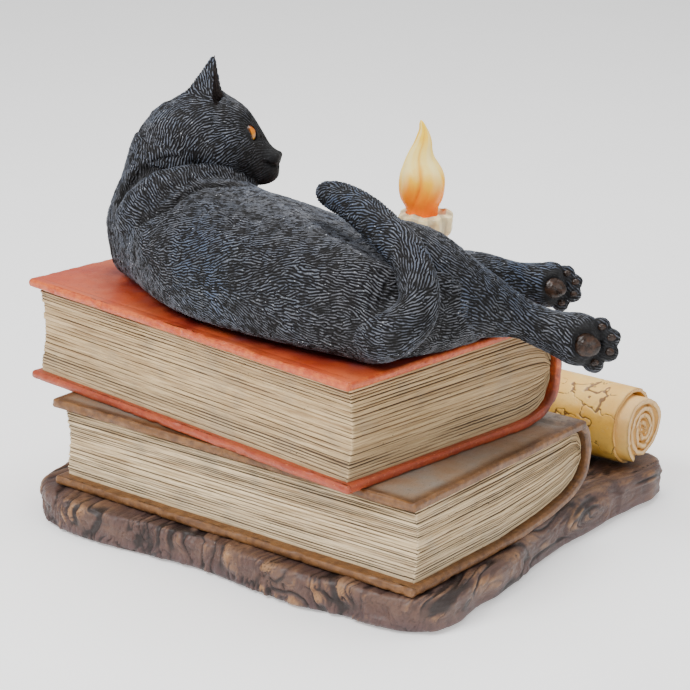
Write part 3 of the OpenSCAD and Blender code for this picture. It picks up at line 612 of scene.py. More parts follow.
def make_scroll():
    lo, hi = bx("parchment_scroll")
    R = 14.2; cy, cz = 69.9, PTOP + R + 0.1
    xa, xb = lo[0], hi[0] + 1.4
    turns = 5.0
    NA, NL = ((820, 290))
    v = np.linspace(0, 1, NA); v = np.where(v < 0.52, v * 0.22 / 0.52, 0.22 + (v - 0.52) * 0.78 / 0.48)
    ang = math.radians(262) - 2 * math.pi * turns * v
    rad = np.interp(v, [0, 0.17, 0.23, 0.42, 0.62, 0.81, 1.0], [R, R - 0.35, R - 1.9, R - 4.4, R - 7.1, R - 9.7, 1.7])
    rad = rad + 0.14 * np.sin(ang * 3 + 1) * (v > 0.2) + 0.12 * n1(ang * 1.3, 5)
    rad = np.minimum(rad, R + 0.05)
    th = np.interp(v, [0, 0.16, 0.24, 1.0], [1.35, 1.4, 1.95, 1.7])
    # where each part of the sheet ends at the right: the outer turn stops short, in torn steps
    stepy = 0.9 * n1(v * 60, 8, 3) + 0.5 * np.sign(n1(v * 45, 9, 1)) * np.abs(n1(v * 30, 19, 1))
    xr = xb - 0.5 - 5.2 * (1 - sstep(0.185, 0.215, v)) - 1.2 * (0.5 + 0.5 * np.sin(ang * 1.0 + 0.6)) * v + 0.4 * v + stepy * 0.7
    xl = xa + 0.8 + 3.2 * (1 - sstep(0.14, 0.17, v)) + 1.2 * v + 0.8 * n1(v * 55, 14, 3)
    xr = np.minimum(xr, xb); xl = np.maximum(xl, xa)
    w = np.linspace(0, 1, NL)
    # close rows towards both torn ends
    w = 0.5 - 0.5 * np.cos(np.pi * w); w = 0.35 * w + 0.65 * np.linspace(0, 1, NL)
    A, W = np.meshgrid(np.arange(NA), w, indexing="ij")
    X = xl[:, None] + (xr - xl)[:, None] * w[None]
    def surf(r):
        return np.stack([X, cy + r * np.cos(ang)[:, None], cz + r * np.sin(ang)[:, None]], -1)
    base = surf(np.repeat(rad[:, None], NL, 1)).reshape(-1, 3)
    q = np.stack([base[:, 0] / 27, base[:, 1] / 19, base[:, 2] / 19], 1)
    q = q + 0.30 * np.stack([vnoise(base / 5, 1), vnoise(base / 5, 2), vnoise(base / 5, 3)], 1) + 0.07 * np.stack([vnoise(base / 1.6, 4), vnoise(base / 1.6, 5), vnoise(base / 1.6, 6)], 1)
    f1, f2 = cells(q, 77)
    keep = sstep(-0.55, -0.15, vnoise(base / [18, 14, 14], 33))
    vv = np.repeat(v, NL)
    ck = np.exp(-((f2 - f1) / 0.024) ** 2) * keep * (vv < 0.19)
    q2 = q * 2.1 + 5
    g1, g2 = cells(q2, 99)
    ck2 = np.exp(-((g2 - g1) / 0.045) ** 2) * sstep(0.40, 0.65, vnoise(base / [12, 9, 9], 35)) * (vv < 0.17)
    crack = np.clip(ck + 0.30 * ck2, 0, 1).reshape(NA, NL)
    wob = 0.16 * fbm(base / [22, 7, 7], 3, 40).reshape(NA, NL)
    endf = (np.exp(-(1 - w) * (xb - xa) / 1.0) + np.exp(-w * (xb - xa) / 1.0))[None]
    fray = 0.30 * vnoise(base / 0.9, 43).reshape(NA, NL) * endf
    outer = surf(rad[:, None] + np.minimum(wob, 0.05) - 0.34 * crack - 0.35 * endf * (0.5 + 0.5 * vnoise(base / 2.0, 44).reshape(NA, NL)) + fray * 0.5)
    # the outer turn's own edge lies a little proud and is worn thin
    tt = th * (1 - 0.55 * np.exp(-v / 0.006)) * np.where(v > 0.985, 0.6, 1.0)
    inner = surf(np.maximum(rad[:, None] - tt[:, None] + fray * 0.4, 0.2))
    V = np.concatenate([outer.reshape(-1, 3), inner.reshape(-1, 3)])
    n = NA * NL
    q4 = [grid_faces(NA, NL, flip=True), grid_faces(NA, NL, base=n)]
    a = np.arange(NA - 1)
    for c in (0, NL - 1):
        s = np.stack([a * NL + c, (a + 1) * NL + c, n + (a + 1) * NL + c, n + a * NL + c], 1)
        q4.append(s if c else s[:, ::-1])
    b = np.arange(NL - 1)
    for r in (0, NA - 1):
        s = np.stack([r * NL + b, r * NL + b + 1, n + r * NL + b + 1, n + r * NL + b], 1)
        q4.append(s[:, ::-1] if r else s)
    aout = np.concatenate([np.ones(n), np.zeros(n)])
    return add_mesh("parchment_roll", V, np.vstack(q4), None, {"crack": np.concatenate([crack.ravel(), crack.ravel() * 0.2]), "outer": aout,
        "torn": np.concatenate([np.repeat(endf, NA, 0).ravel()] * 2), "turn": np.concatenate([np.repeat(v, NL)] * 2)})

def mat_scroll():
    m = Mat("painted_parchment")
    crack, torn, turn = m.attr("crack"), m.attr("torn"), m.attr("turn")
    x, y, z = m.xyz()
    big = m.noise(0.07, 4, 0.6); medn = m.noise(0.28, 4, 0.62); fine = m.noise(1.6, 4, 0.6)
    c = m.ramp(big, [(0.3, (0.78, 0.38, 0.045)), (0.5, (0.92, 0.53, 0.085)), (0.7, (0.98, 0.66, 0.17))])
    c = m.mix(m.rng(medn, 0.50, 0.72, 0, 0.65), c, (0.74, 0.36, 0.050))
    c = m.mix(m.rng(medn, 0.46, 0.28, 0, 0.55), c, (0.92, 0.68, 0.30))
    # lighter towards the top of the roll: painted highlight; near-black brown where the roll meets the plank: painted
    # shade
    c = m.mix(m.rng(z, PTOP + 18, PTOP + 27, 0, 0.35), c, (0.90, 0.60, 0.22))
    c = m.mix(m.rng(z, PTOP + 5, PTOP + 0.3, 0, 0.75), c, (0.16, 0.060, 0.014))
    c = m.mix(m.rng(turn, 0.20, 0.26, 0, 0.50), c, (0.88, 0.58, 0.28))
    c = m.mix(m.rng(torn, 0.3, 0.95, 0, 0.55), c, (0.42, 0.24, 0.10))
    c = m.mix(m.rng(fine, 0.62, 0.75, 0, 0.35), c, (0.42, 0.22, 0.07))
    c = m.mix(m.rng(crack, 0.15, 0.7, 0, 0.88), c, (0.13, 0.055, 0.02))
    nb = m.bump(m.math("ADD", m.noise(1.1, 5, 0.6), m.math("MULTIPLY", medn, 0.8)), 0.35, 0.3)
    return m.done(c, m.rng(medn, 0.3, 0.7, 0.34, 0.50), nb, Specular_IOR_Level=0.45, Coat_Weight=0.15, Coat_Roughness=0.3)

piece(make_scroll(), mat_scroll(), ["parchment_scroll"])

# ================================================================== CANDLE AND FLAME
CX, CY = -0.6, 40.0
CTOP = bx("candle_stick")[1][2]
def make_candle():
    r0 = 8.25; base = PTOP; h = CTOP + 3.6 - base
    prof = [(0.3, r0 + 2.8), (2, r0 + 2.3), (6, r0 + 0.6), (14, r0)]
    z = [0.3] + list(np.linspace(1, h - 12, 46)) + list(np.linspace(h - 11.5, h, 34))
    kz, kr = [0, 2, 6, 14, h - 12, h - 7, h - 3, h - 1.2, h], [r0 + 3.0, r0 + 2.3, r0 + 0.6, r0, r0 + 0.1, r0 + 1.0, r0 + 1.5, r0 + 1.15, r0 - 0.7]
    rows = [(a, np.interp(a, kz, kr), 0.0) for a in z]
    for b in np.linspace(0.12, 1, 12):
        rows.append((h - 3.2 * b ** 0.8, r0 - 0.7 - 2.6 * b, 1.0))
    for b in np.linspace(0.2, 0.92, 6):
        rows.append((h - 3.3, (r0 - 3.4) * (1 - b) + 0.2, 1.0))
    rows = np.array(rows); M = len(rows); N = 260
    th = np.linspace(0, 2 * np.pi, N, endpoint=False)
    # lobes of run wax along the rim, each with its own length
    centre = np.array([-2.9, -2.35, -1.75, -1.05, -0.45, 0.2, 0.9, 1.6, 2.3]); leng = np.array([6, 9, 7, 13, 15, 8, 9, 7, 10]); wid = np.array([0.28, 0.24, 0.34, 0.3, 0.26, 0.33, 0.3, 0.3, 0.26])
    T, Z = np.meshgrid(th, rows[:, 0], indexing="ij")
    lob = np.zeros_like(T)
    for c, L, w in zip(centre, leng, wid):
        d = np.abs((T - c + np.pi) % (2 * np.pi) - np.pi)
        zz = h - Z
        cap = sstep(1.0, 0.0, d / w) * np.where(zz < L, 1.0, np.exp(-((zz - L) / 1.1) ** 2))
        lob = np.maximum(lob, cap * (0.8 + 0.25 * np.exp(-((zz - L + 1.2) / 1.6) ** 2)))
    inner = rows[None, :, 2]
    rr = rows[None, :, 1] + (lob * 1.35 - 0.50) * (1 - inner) * sstep(h - 19, h - 9, Z) + 0.35 * fbm(np.stack([T.ravel() * 3, Z.ravel() / 4, T.ravel() * 0], 1), 3, 90).reshape(T.shape)
    rr = rr + inner * 0.35 * np.cos(T * 5 + 1)
    top = h + 0.0 - 0.9 * np.abs(np.sin(T * 2.5 + 0.7)) * sstep(h - 3, h, Z)
    Zf = np.where(Z > h - 3, Z - (h - top) * sstep(h - 3, h, Z), Z)
    rr = np.clip(rr, 0.15, r0 + 3.1)
    V = np.stack([CX + rr * np.cos(T), CY + rr * np.sin(T), base + Zf], -1).reshape(-1, 3)
    cb, ct = len(V), len(V) + 1
    V = np.vstack([V, [[CX, CY, base + 0.3], [CX, CY, base + h - 3.4]]])
    e = lambda a: np.concatenate([a.ravel(), [0, 0]])
    return add_mesh("wax_candle", V, grid_faces(N, M, wrap_u=True), np.vstack([fan(np.arange(N) * M, cb, True), fan(np.arange(N) * M + M - 1, ct)]), {"lobe": e(lob), "zrel": e(h - Zf), "inner": e(inner + T * 0)})

def mat_wax():
    m = Mat("painted_cream_wax")
    lobe, zrel, inner = m.attr("lobe"), m.attr("zrel"), m.attr("inner")
    n = m.noise(0.35, 4, 0.6); f = m.noise(1.7, 4, 0.6)
    c = m.ramp(n, [(0.3, (0.74, 0.57, 0.27)), (0.5, (0.86, 0.72, 0.40)), (0.7, (0.92, 0.82, 0.53))])
    crev = m.math("MULTIPLY", m.rng(lobe, 0.55, 0.12), m.rng(zrel, 15, 9))
    c = m.mix(m.math("MULTIPLY", crev, 0.6), c, (0.42, 0.35, 0.22))
    c = m.mix(m.rng(f, 0.60, 0.74, 0, 0.45), c, (0.46, 0.41, 0.30))
    c = m.mix(m.math("MULTIPLY", inner, 0.40), c, (0.80, 0.55, 0.26))
    nb = m.bump(m.noise(0.9, 4, 0.6), 0.4, 0.35)
    return m.done(c, m.rng(n, 0.3, 0.7, 0.30, 0.44), nb, Specular_IOR_Level=0.45, Subsurface_Weight=0.12, Subsurface_Radius=(0.004, 0.0025, 0.0015), Subsurface_Scale=1.0, Coat_Weight=0.2, Coat_Roughness=0.25)

def make_flame():
    # offset to the viewer's right, height, radius
    rows = np.array([[-1.2, 97.6, 4.3], [-1.4, 100.9, 5.3], [-1.6, 104.3, 5.9], [-1.65, 107.4, 7.6], [-1.65, 110.6, 8.6], [-1.6, 114.1, 8.9], [-1.8, 117.2, 8.3],
        [-2.1, 120.0, 7.0], [-2.45, 122.8, 5.5], [-2.2, 125.6, 4.4], [-1.55, 128.4, 3.5], [-1.35, 131.0, 2.6], [-1.45, 133.2, 1.65], [-2.0, 135.4, 0.95], [-2.3, 136.6, 0.3]])
    Q = catmull(rows, 9); M = len(Q); N = 240
    fl = bx("candle_flame")
    th = np.linspace(0, 2 * np.pi, N, endpoint=False)
    T, I = np.meshgrid(th, np.arange(M), indexing="ij")
    z = Q[I, 1]; u = (z - 98.9) / 37.7; u0 = np.clip(u, 0, 1)
    tw = T - 2.1 * u0 ** 1.1 - 0.45 * np.sin(u0 * 5.5)
    ridge = np.abs(np.sin(tw * 2.0 + 1.15)) ** 0.62
    ridge2 = np.abs(np.sin(tw * 4.5 + 0.6 + u0 * 2)) ** 0.8
    amp = 0.20 * sstep(0.02, 0.30, u0) * (1 - 0.45 * u0)
    r = Q[I, 2] * (1.035 - amp * (1 - ridge) - 0.05 * (1 - ridge2) * sstep(0.1, 0.4, u0))
    ar = math.radians(38.2)
    V = np.stack([CX + Q[I, 0] * math.cos(ar) + r * np.cos(T), CY + Q[I, 0] * math.sin(ar) + r * np.sin(T), z], -1).reshape(-1, 3)
    V[:, 2] = np.minimum(V[:, 2], fl[1][2])
    cb, ct = len(V), len(V) + 1
    V = np.vstack([V, [[CX - 1.2 * math.cos(ar), CY - 1.2 * math.sin(ar), 97.6], [CX - 2.32 * math.cos(ar), CY - 2.32 * math.sin(ar), min(136.75, fl[1][2])]]])
    e = lambda a: np.concatenate([a.ravel(), [0, 1]])
    return add_mesh("wax_flame", V, grid_faces(N, M, wrap_u=True), np.vstack([fan(np.arange(N) * M, cb, True), fan(np.arange(N) * M + M - 1, ct)]), {"u": e(u0), "ridge": e(ridge)})

def mat_flame():
    m = Mat("painted_flame")
    u, ridge = m.attr("u"), m.attr("ridge")
    n = m.noise(0.22, 3, 0.5, m.stretch(1, 1, 0.35)); f = m.noise(1.3, 4, 0.6, m.stretch(1, 1, 0.4))
    uu = m.math("ADD", u, m.math("MULTIPLY", m.math("SUBTRACT", n, 0.5), 0.30))
    c = m.ramp(uu, [(0.0, (0.95, 0.11, 0.0)), (0.15, (0.98, 0.17, 0.0)), (0.30, (1.0, 0.33, 0.002)), (0.44, (1.0, 0.56, 0.03)), (0.56, (1.0, 0.80, 0.25)), (0.74, (1.0, 0.76, 0.18)), (0.88, (0.98, 0.62, 0.035)), (1.0, (0.98, 0.66, 0.04))])
    deep = m.math("MULTIPLY", m.rng(ridge, 0.62, 0.08), m.rng(u, 0.02, 0.25))
    c = m.mix(m.math("MULTIPLY", deep, 0.70), c, m.mix(m.rng(u, 0.25, 0.7), (0.82, 0.15, 0.0), (0.86, 0.48, 0.03)))
    c = m.mix(m.math("MULTIPLY", m.rng(ridge, 0.86, 1.0), m.rng(u, 0.25, 0.5, 0, 0.45)), c, (1.0, 0.90, 0.46))
    nb = m.bump(f, 0.3, 0.2)
    # the faint orange emission is a painted glow: the flame is painted resin, not a lamp
    return m.done(c, m.rng(n, 0.3, 0.7, 0.28, 0.40), nb, Specular_IOR_Level=0.08, Emission_Color=(1.0, 0.36, 0.0), Emission_Strength=0.12)

piece(make_candle(), mat_wax(), ["candle_stick"])
piece(make_flame(), mat_flame(), ["candle_flame"])

# ================================================================== THE CAT
FLOOR = SEAT + 0.15
va, vt = math.radians(38.2), math.radians(71.8)
FACE = np.array([[math.cos(va), -math.sin(va) * math.cos(vt), math.sin(va) * math.sin(vt)],
                 [math.sin(va), math.cos(va) * math.cos(vt), -math.cos(va) * math.sin(vt)],
                 [0, math.sin(vt), math.cos(vt)]])
def rotm(x, y, z):
    x, y, z = map(math.radians, (x, y, z))
    rx = np.array([[1, 0, 0], [0, math.cos(x), -math.sin(x)], [0, math.sin(x), math.cos(x)]])
    ry = np.array([[math.cos(y), 0, math.sin(y)], [0, 1, 0], [-math.sin(y), 0, math.cos(y)]])
    rz = np.array([[math.cos(z), -math.sin(z), 0], [math.sin(z), math.cos(z), 0], [0, 0, 1]])
    return rz @ ry @ rx
HEAD_R = FACE @ rotm(-7, 5, 0); HEAD_P = np.array([-53, -22.4, 135.4])
def to_local(P, R, o): return (P - o) @ R
def to_world(L, R, o): return np.asarray(L, float) @ R.T + o

torso_rows = [[-87,-28,96,3,5,5],[-85,-28,97,10,10,10],[-80.5,-28,98,16.5,15,14],[-72,-28,99,21.5,22,15.6],[-60,-30,99,24.5,27,15.6],
  [-44,-35,98,27,27,14.6],[-26,-42,97.5,29.5,26.3,14.1],[-8,-46,97.5,31,26.2,14.1],[12,-47,97.5,31,26.2,14.1],[30,-47,97.5,30.5,26.2,14.1],
  [46,-47,97.5,29,25,14.1],[57,-47,97.5,25,22,14.1],[65,-48,97,18,16,12],[69,-49,96.5,10,9,8],[71,-49,96,3,3,3]]
neck_rows = [[-65,-28,98,18,18,12],[-64,-31,106,16.5,16.5,16],[-62.5,-34,113,15,15,15],[-61,-34.5,121,14.6,14.6,14.6],[-60.6,-30.4,130.6,14.4,14.4,14.4],
  [-57.6,-26,137,12.5,12.5,12.5],[-54,-23,141,4,4,4]]
tail_rows = [[50,-62,93,6],[58,-66.5,93.5,8.4],[65,-68,95.5,7.8],[70,-66,99.5,7.2],[71.5,-62,105,6.6],[68,-58,112,6.4],[61,-55,119,6.3],[52,-53,123.6,6.2],
  [42,-50,127,6],[33,-47,128.8,5.6],[25,-44.5,129.4,5],[18.6,-43,129.6,3.8],[15.4,-42.3,129.6,1.2]]
hind_r_rows = [[34,-44,103,9,10,9],[42,-42,104,17,19,17],[52,-38,103.5,18,19,18],[61,-33,101,16,15.4,16.5],[68,-26.5,97.5,12,11.4,13.5],[73,-19,93,8.6,9,9],
  [78,-13.5,89.6,7,7.2,6],[84,-10,87.4,6.8,6.8,6.6],[89.5,-8,86,7.4,7.4,7.4],[94.8,-6,84.9,8.6,8.8,8.8],[98.6,-4.4,83.8,7.6,8,8],[101.4,-2.6,83.2,3.5,4,4]]
hind_l_rows = [[46,-18,97,7,8,8],[52,-12,97.2,11,11,11.6],[58,-4,97,9.5,9.5,11],[62.6,3,96.2,7,7,8],[66,8,95.6,6.4,6.4,6.6],[69.6,10.6,95.2,7,7.2,7.2],
  [72.6,12.6,94.8,7.4,7.8,7.8],[75,14,94.4,6,6.4,6.4],[76.6,15,94.2,3,3.4,3.4]]
fore_r_rows = [[-64,-22,108,8,8,8],[-58,-14,108,12,12,12],[-52,-6,103,10.5,10.5,10.5],[-47,1,97,8,8,8],[-40,6,92.5,6.4,6.4,6.4],[-31,8.5,90.2,5.8,5.8,5.8],
  [-22,8,90,6.6,6.2,6.2],[-14,6.5,90,6.6,5.8,6],[-10,5.5,89.8,3,3,3]]
fore_l_rows = [[-76,-16,98,8,8,8],[-74,-8,97,10,10,10],[-70,0,94,8.6,8.6,8.6],[-64,7,91,7,7,7.2],[-56,12,89.8,6,6,6],[-48,14.5,89.6,6,5.8,5.8],
  [-40,15,89.8,6.6,6,6],[-33,14.5,89.8,6.2,5.4,5.6],[-29,14,89.6,3,2.8,3]]
head_rows = [[-19,-2,0,2.5,3,3],[-17,-1.5,0,8,8.8,8],[-10,-1,0,13,13.6,12],[-3,-1.6,0,15.5,15.8,13.5],[5,-2,0,15.8,16.4,14.4],[9.6,-2.6,0,14.8,15.5,14.8],
  [14.2,-3.6,0,12.6,13.5,14.6],[17.8,-5,0,9.9,10.7,13.4],[20.6,-6.3,0,7.5,7.2,12.2],[23.2,-7.8,0,5.7,4.5,9.6],[25.8,-8.6,0,3.9,2.8,5.8],[27.4,-8.9,0,1.4,1.2,2]]

def unit(v):
    v = np.asarray(v, float); return v / np.maximum(np.linalg.norm(v, axis=-1, keepdims=True), 1e-9)

class Tube:
    """Distance to a lofted row of rounded sections."""
    def __init__(self, rows, n=3, up=(0, 0, 1), q_up=2.0, q_dn=2.0, shrink=0.0):
        R = np.array(rows, float)
        if R.shape[1] == 4: R = np.column_stack([R, R[:, 3], R[:, 3]])
        Q = catmull(R, n)
        self.c = Q[:, :3]; self.r = np.maximum(Q[:, 3:6] - shrink, 0.3)
        self.up = np.array(up, float); self.qu, self.qd = q_up, q_dn
        self.lo = (self.c - self.r.max(1)[:, None]).min(0); self.hi = (self.c + self.r.max(1)[:, None]).max(0)
        t = np.gradient(self.c, axis=0); self.t = unit(t)
    def __call__(self, P, want_t=False):
        best = np.full(len(P), 1e3); bi = np.zeros(len(P), int)
        near = np.all((P > self.lo - 9) & (P < self.hi + 9), axis=1)
        A = P[near]
        b = np.full(len(A), 1e3); k = np.zeros(len(A), int)
        m_ = len(self.c) - 1
        seg = np.diff(self.c, axis=0); Ls = np.linalg.norm(seg, axis=1); Ts = seg / Ls[:, None]
        for i in range(m_):
            T = Ts[i]; L = Ls[i]; r0, r1 = self.r[i], self.r[i + 1]
            s = unit(np.cross(T, self.up)); u = np.cross(s, T)
            bend = lambda a, c: math.tan(0.5 * math.acos(max(-1.0, min(1.0, float(a @ c)))))
            sl0 = 1.15 * r0.max() * bend(Ts[i - 1], T) + 0.02 if i > 0 else 0.0
            sl1 = 1.15 * r1.max() * bend(T, Ts[i + 1]) + 0.02 if i < m_ - 1 else 0.0
            D = A - self.c[i]
            tau = D @ T; t = np.clip(tau / L, 0, 1)
            over = np.maximum(np.maximum(-tau - sl0, tau - L - sl1), 0)
            x = D @ s; y = D @ u
            rw = r0[0] + (r1[0] - r0[0]) * t
            ru = np.where(y > 0, r0[1] + (r1[1] - r0[1]) * t, r0[2] + (r1[2] - r0[2]) * t)
            if self.qu == 2.0 and self.qd == 2.0:
                rho = np.sqrt((x / rw) ** 2 + (y / ru) ** 2)
            else:
                q = np.where(y > 0, self.qu, self.qd)
                rho = (np.abs(x / rw) ** q + np.abs(y / ru) ** q) ** (1 / q)
            rr = np.sqrt(x * x + y * y)
            d = np.where(rho > 0.02, (rho - 1) * rr / np.maximum(rho, 0.02), -np.minimum(rw, ru))
            d = np.where(over > 0, np.hypot(np.maximum(d, 0), over), d)
            m = d < b; b = np.where(m, d, b); k = np.where(m, i, k)
        best[near] = b; bi[near] = k
        far = ~near
        if far.any():
            q = np.maximum(np.maximum(self.lo - P[far], P[far] - self.hi), 0)
            best[far] = np.linalg.norm(q, axis=1) + 1
        if want_t: return best, self.t[bi], bi
        return best

class Sections:
    """Distance to a row of upright sections along x: centre height, then half width, rise and drop."""
    def __init__(self, rows, n=5): self.q = catmull(np.array(rows, float), n)
    def raw(self, x, y, z):
        q = self.q; xi = np.clip(x, q[0, 0], q[-1, 0])
        yc, w, u, dn = [np.interp(xi, q[:, 0], q[:, c]) for c in (1, 3, 4, 5)]
        y = y - yc; ru = np.where(y > 0, u, dn)
        rho = np.sqrt((z / w) ** 2 + (y / ru) ** 2); rr = np.hypot(y, z)
        return np.where(rho > 0.02, (rho - 1) * rr / np.maximum(rho, 0.02), -np.minimum(w, ru))
    def __call__(self, L):
        x, y, z = L.T; q = self.q
        d = self.raw(x, y, z); g = (self.raw(x + 0.4, y, z) - self.raw(x - 0.4, y, z)) / 0.8
        d = d / np.sqrt(1 + np.minimum(g * g, 9.0))
        over = np.maximum(np.maximum(x - q[-1, 0], q[0, 0] - x), 0)
        return np.where(over > 0, np.hypot(np.maximum(d, 0), over), d)

def smin(a, b, k):
    h = np.clip(0.5 + 0.5 * (b - a) / k, 0, 1)
    return b + (a - b) * h - k * h * (1 - h)
def smax(a, b, k): return -smin(-a, -b, k)
def ball(P, c, r):
    r = np.asarray(r, float)
    D = P - np.asarray(c, float)
    if r.ndim == 0: return np.linalg.norm(D, axis=1) - r
    rho = np.linalg.norm(D / r, axis=1)
    return (rho - 1) * np.linalg.norm(D, axis=1) / np.maximum(rho, 1e-3)
def capsules(P, pts, k=2.0):
    out = None
    for (a, b) in zip(pts[:-1], pts[1:]):
        a = np.array(a, float); b = np.array(b, float); ab = b[:3] - a[:3]
        t = np.clip((P - a[:3]) @ ab / (ab @ ab), 0, 1)
        d = np.linalg.norm(P - a[:3] - t[:, None] * ab, axis=1) - (a[3] + (b[3] - a[3]) * t)
        out = d if out is None else smin(out, d, k)
    return out

def nets(fn, lo, hi, h):
    """Quad mesh of fn = 0."""
    ax = [np.arange(lo[i] - h * 1.5, hi[i] + h * 2.5, h) for i in range(3)]
    nx, ny, nz = map(len, ax)
    G = np.stack(np.meshgrid(*ax, indexing="ij"), -1).reshape(-1, 3)
    D = np.concatenate([fn(G[i:i + 200000]) for i in range(0, len(G), 200000)]).reshape(nx, ny, nz)
    S = D < 0
    def cn(a, i, j, k): return a[i:nx - 1 + i, j:ny - 1 + j, k:nz - 1 + k]
    cnt = sum(cn(S, i, j, k).astype(int) for i in (0, 1) for j in (0, 1) for k in (0, 1))
    act = (cnt > 0) & (cnt < 8)
    idx = -np.ones(act.shape, int); idx[act] = np.arange(act.sum())
    I, J, K = np.nonzero(act)
    acc = np.zeros((len(I), 3)); num = np.zeros(len(I))
    for a in range(3):
        for o1 in (0, 1):
            for o2 in (0, 1):
                off = [0, 0, 0]; others = [x for x in range(3) if x != a]; off[others[0]] = o1; off[others[1]] = o2
                p0 = (I + off[0], J + off[1], K + off[2]); off2 = off.copy(); off2[a] = 1
                p1 = (I + off2[0], J + off2[1], K + off2[2])
                d0, d1 = D[p0], D[p1]; m = (d0 < 0) != (d1 < 0)
                t = np.where(m, d0 / np.where(m, d0 - d1, 1), 0)
                pos = np.stack([np.full(len(I), off[i], float) for i in range(3)], 1); pos[:, a] += t
                acc += pos * m[:, None]; num += m
    V = (np.stack([I, J, K], 1) + acc / num[:, None]) * h + [ax[0][0], ax[1][0], ax[2][0]]
    F = []
    for a in range(3):
        b, c = (a + 1) % 3, (a + 2) % 3
        sl0 = [slice(1, -1)] * 3; sl0[a] = slice(0, -1); sl1 = list(sl0); sl1[a] = slice(1, None)
        s0, s1 = S[tuple(sl0)], S[tuple(sl1)]
        for flip, m in ((False, s0 & ~s1), (True, ~s0 & s1)):
            e = np.stack(np.nonzero(m), 1); e += [0 if i == a else 1 for i in range(3)]
            q = []
            for db, dc in ((1, 1), (0, 1), (0, 0), (1, 0)):
                cidx = e.copy(); cidx[:, b] -= db; cidx[:, c] -= dc
                q.append(idx[tuple(cidx.T)])
            q = np.stack(q, 1)
            F.append(q[:, ::-1] if flip else q)
    return V, np.vstack(F)

def grad(fn, V, e=0.25):
    g = np.zeros_like(V)
    for i in range(3):
        o = np.zeros(3); o[i] = e
        g[:, i] = (fn(V + o) - fn(V - o)) / (2 * e)
    return g

def relax(fn, V, F, rounds=2):
    for _ in range(rounds):
        acc = np.zeros_like(V); n = np.zeros(len(V))
        for i in range(4):
            a, b = F[:, i], F[:, (i + 1) % 4]
            np.add.at(acc, a, V[b]); np.add.at(acc, b, V[a]); np.add.at(n, a, 1); np.add.at(n, b, 1)
        V = V + 0.5 * (acc / n[:, None] - V)
        g = grad(fn, V); d = fn(V)
        V = V - g * (d / np.maximum((g * g).sum(1), 0.25))[:, None]
    return V

def subdivide(V, F, levels):
    me = bpy.data.meshes.new("tmp"); me.from_pydata(V.tolist(), [], F.tolist()); me.update()
    o = bpy.data.objects.new("tmp", me); bpy.context.scene.collection.objects.link(o)
    s = o.modifiers.new("s", "SUBSURF"); s.levels = levels; s.render_levels = levels
    dg = bpy.context.evaluated_depsgraph_get(); dg.update()
    ev = o.evaluated_get(dg); m2 = ev.to_mesh()
    nv = len(m2.vertices); W = np.zeros(nv * 3, np.float32); m2.vertices.foreach_get("co", W)
    Q = np.zeros(len(m2.loops), np.int32); m2.loops.foreach_get("vertex_index", Q)
    ev.to_mesh_clear(); bpy.data.objects.remove(o); bpy.data.meshes.remove(me)
    return W.reshape(-1, 3).astype(float), Q.reshape(-1, 4)

def normals(V, F):
    fn_ = np.cross(V[F[:, 2]] - V[F[:, 0]], V[F[:, 3]] - V[F[:, 1]])
    N = np.zeros_like(V)
    for i in range(4): np.add.at(N, F[:, i], fn_)
    area = np.zeros(len(V)); fa = np.linalg.norm(fn_, axis=1) / 8
    for i in range(4): np.add.at(area, F[:, i], fa)
    return unit(N), area

def pairs(A, B, R):
    """Index pairs (a, b) of points closer than R, with the step between them."""
    lo = B.min(0) - 2 * R
    kb = np.floor((B - lo) / R).astype(np.int64); ka = np.floor((A - lo) / R).astype(np.int64); dims = kb.max(0) + 4
    lin = (kb[:, 0] * dims[1] + kb[:, 1]) * dims[2] + kb[:, 2]
    order = np.argsort(lin, kind="stable"); sl = lin[order]; Bs = B[order]
    for dx in (-1, 0, 1):
        for dy in (-1, 0, 1):
            for dz in (-1, 0, 1):
                q = ka + [dx, dy, dz]
                l = (q[:, 0] * dims[1] + q[:, 1]) * dims[2] + q[:, 2]
                a0 = np.searchsorted(sl, l, "left"); a1 = np.searchsorted(sl, l, "right")
                si = np.nonzero(a1 > a0)[0]
                if not len(si): continue
                cnt = (a1 - a0)[si]; rep_ = np.repeat(si, cnt)
                bi = np.repeat(a0[si] - np.concatenate([[0], np.cumsum(cnt)[:-1]]), cnt) + np.arange(len(rep_))
                D = Bs[bi] - A[rep_]; ok = (D * D).sum(1) < R * R
                yield rep_[ok], order[bi[ok]], D[ok]

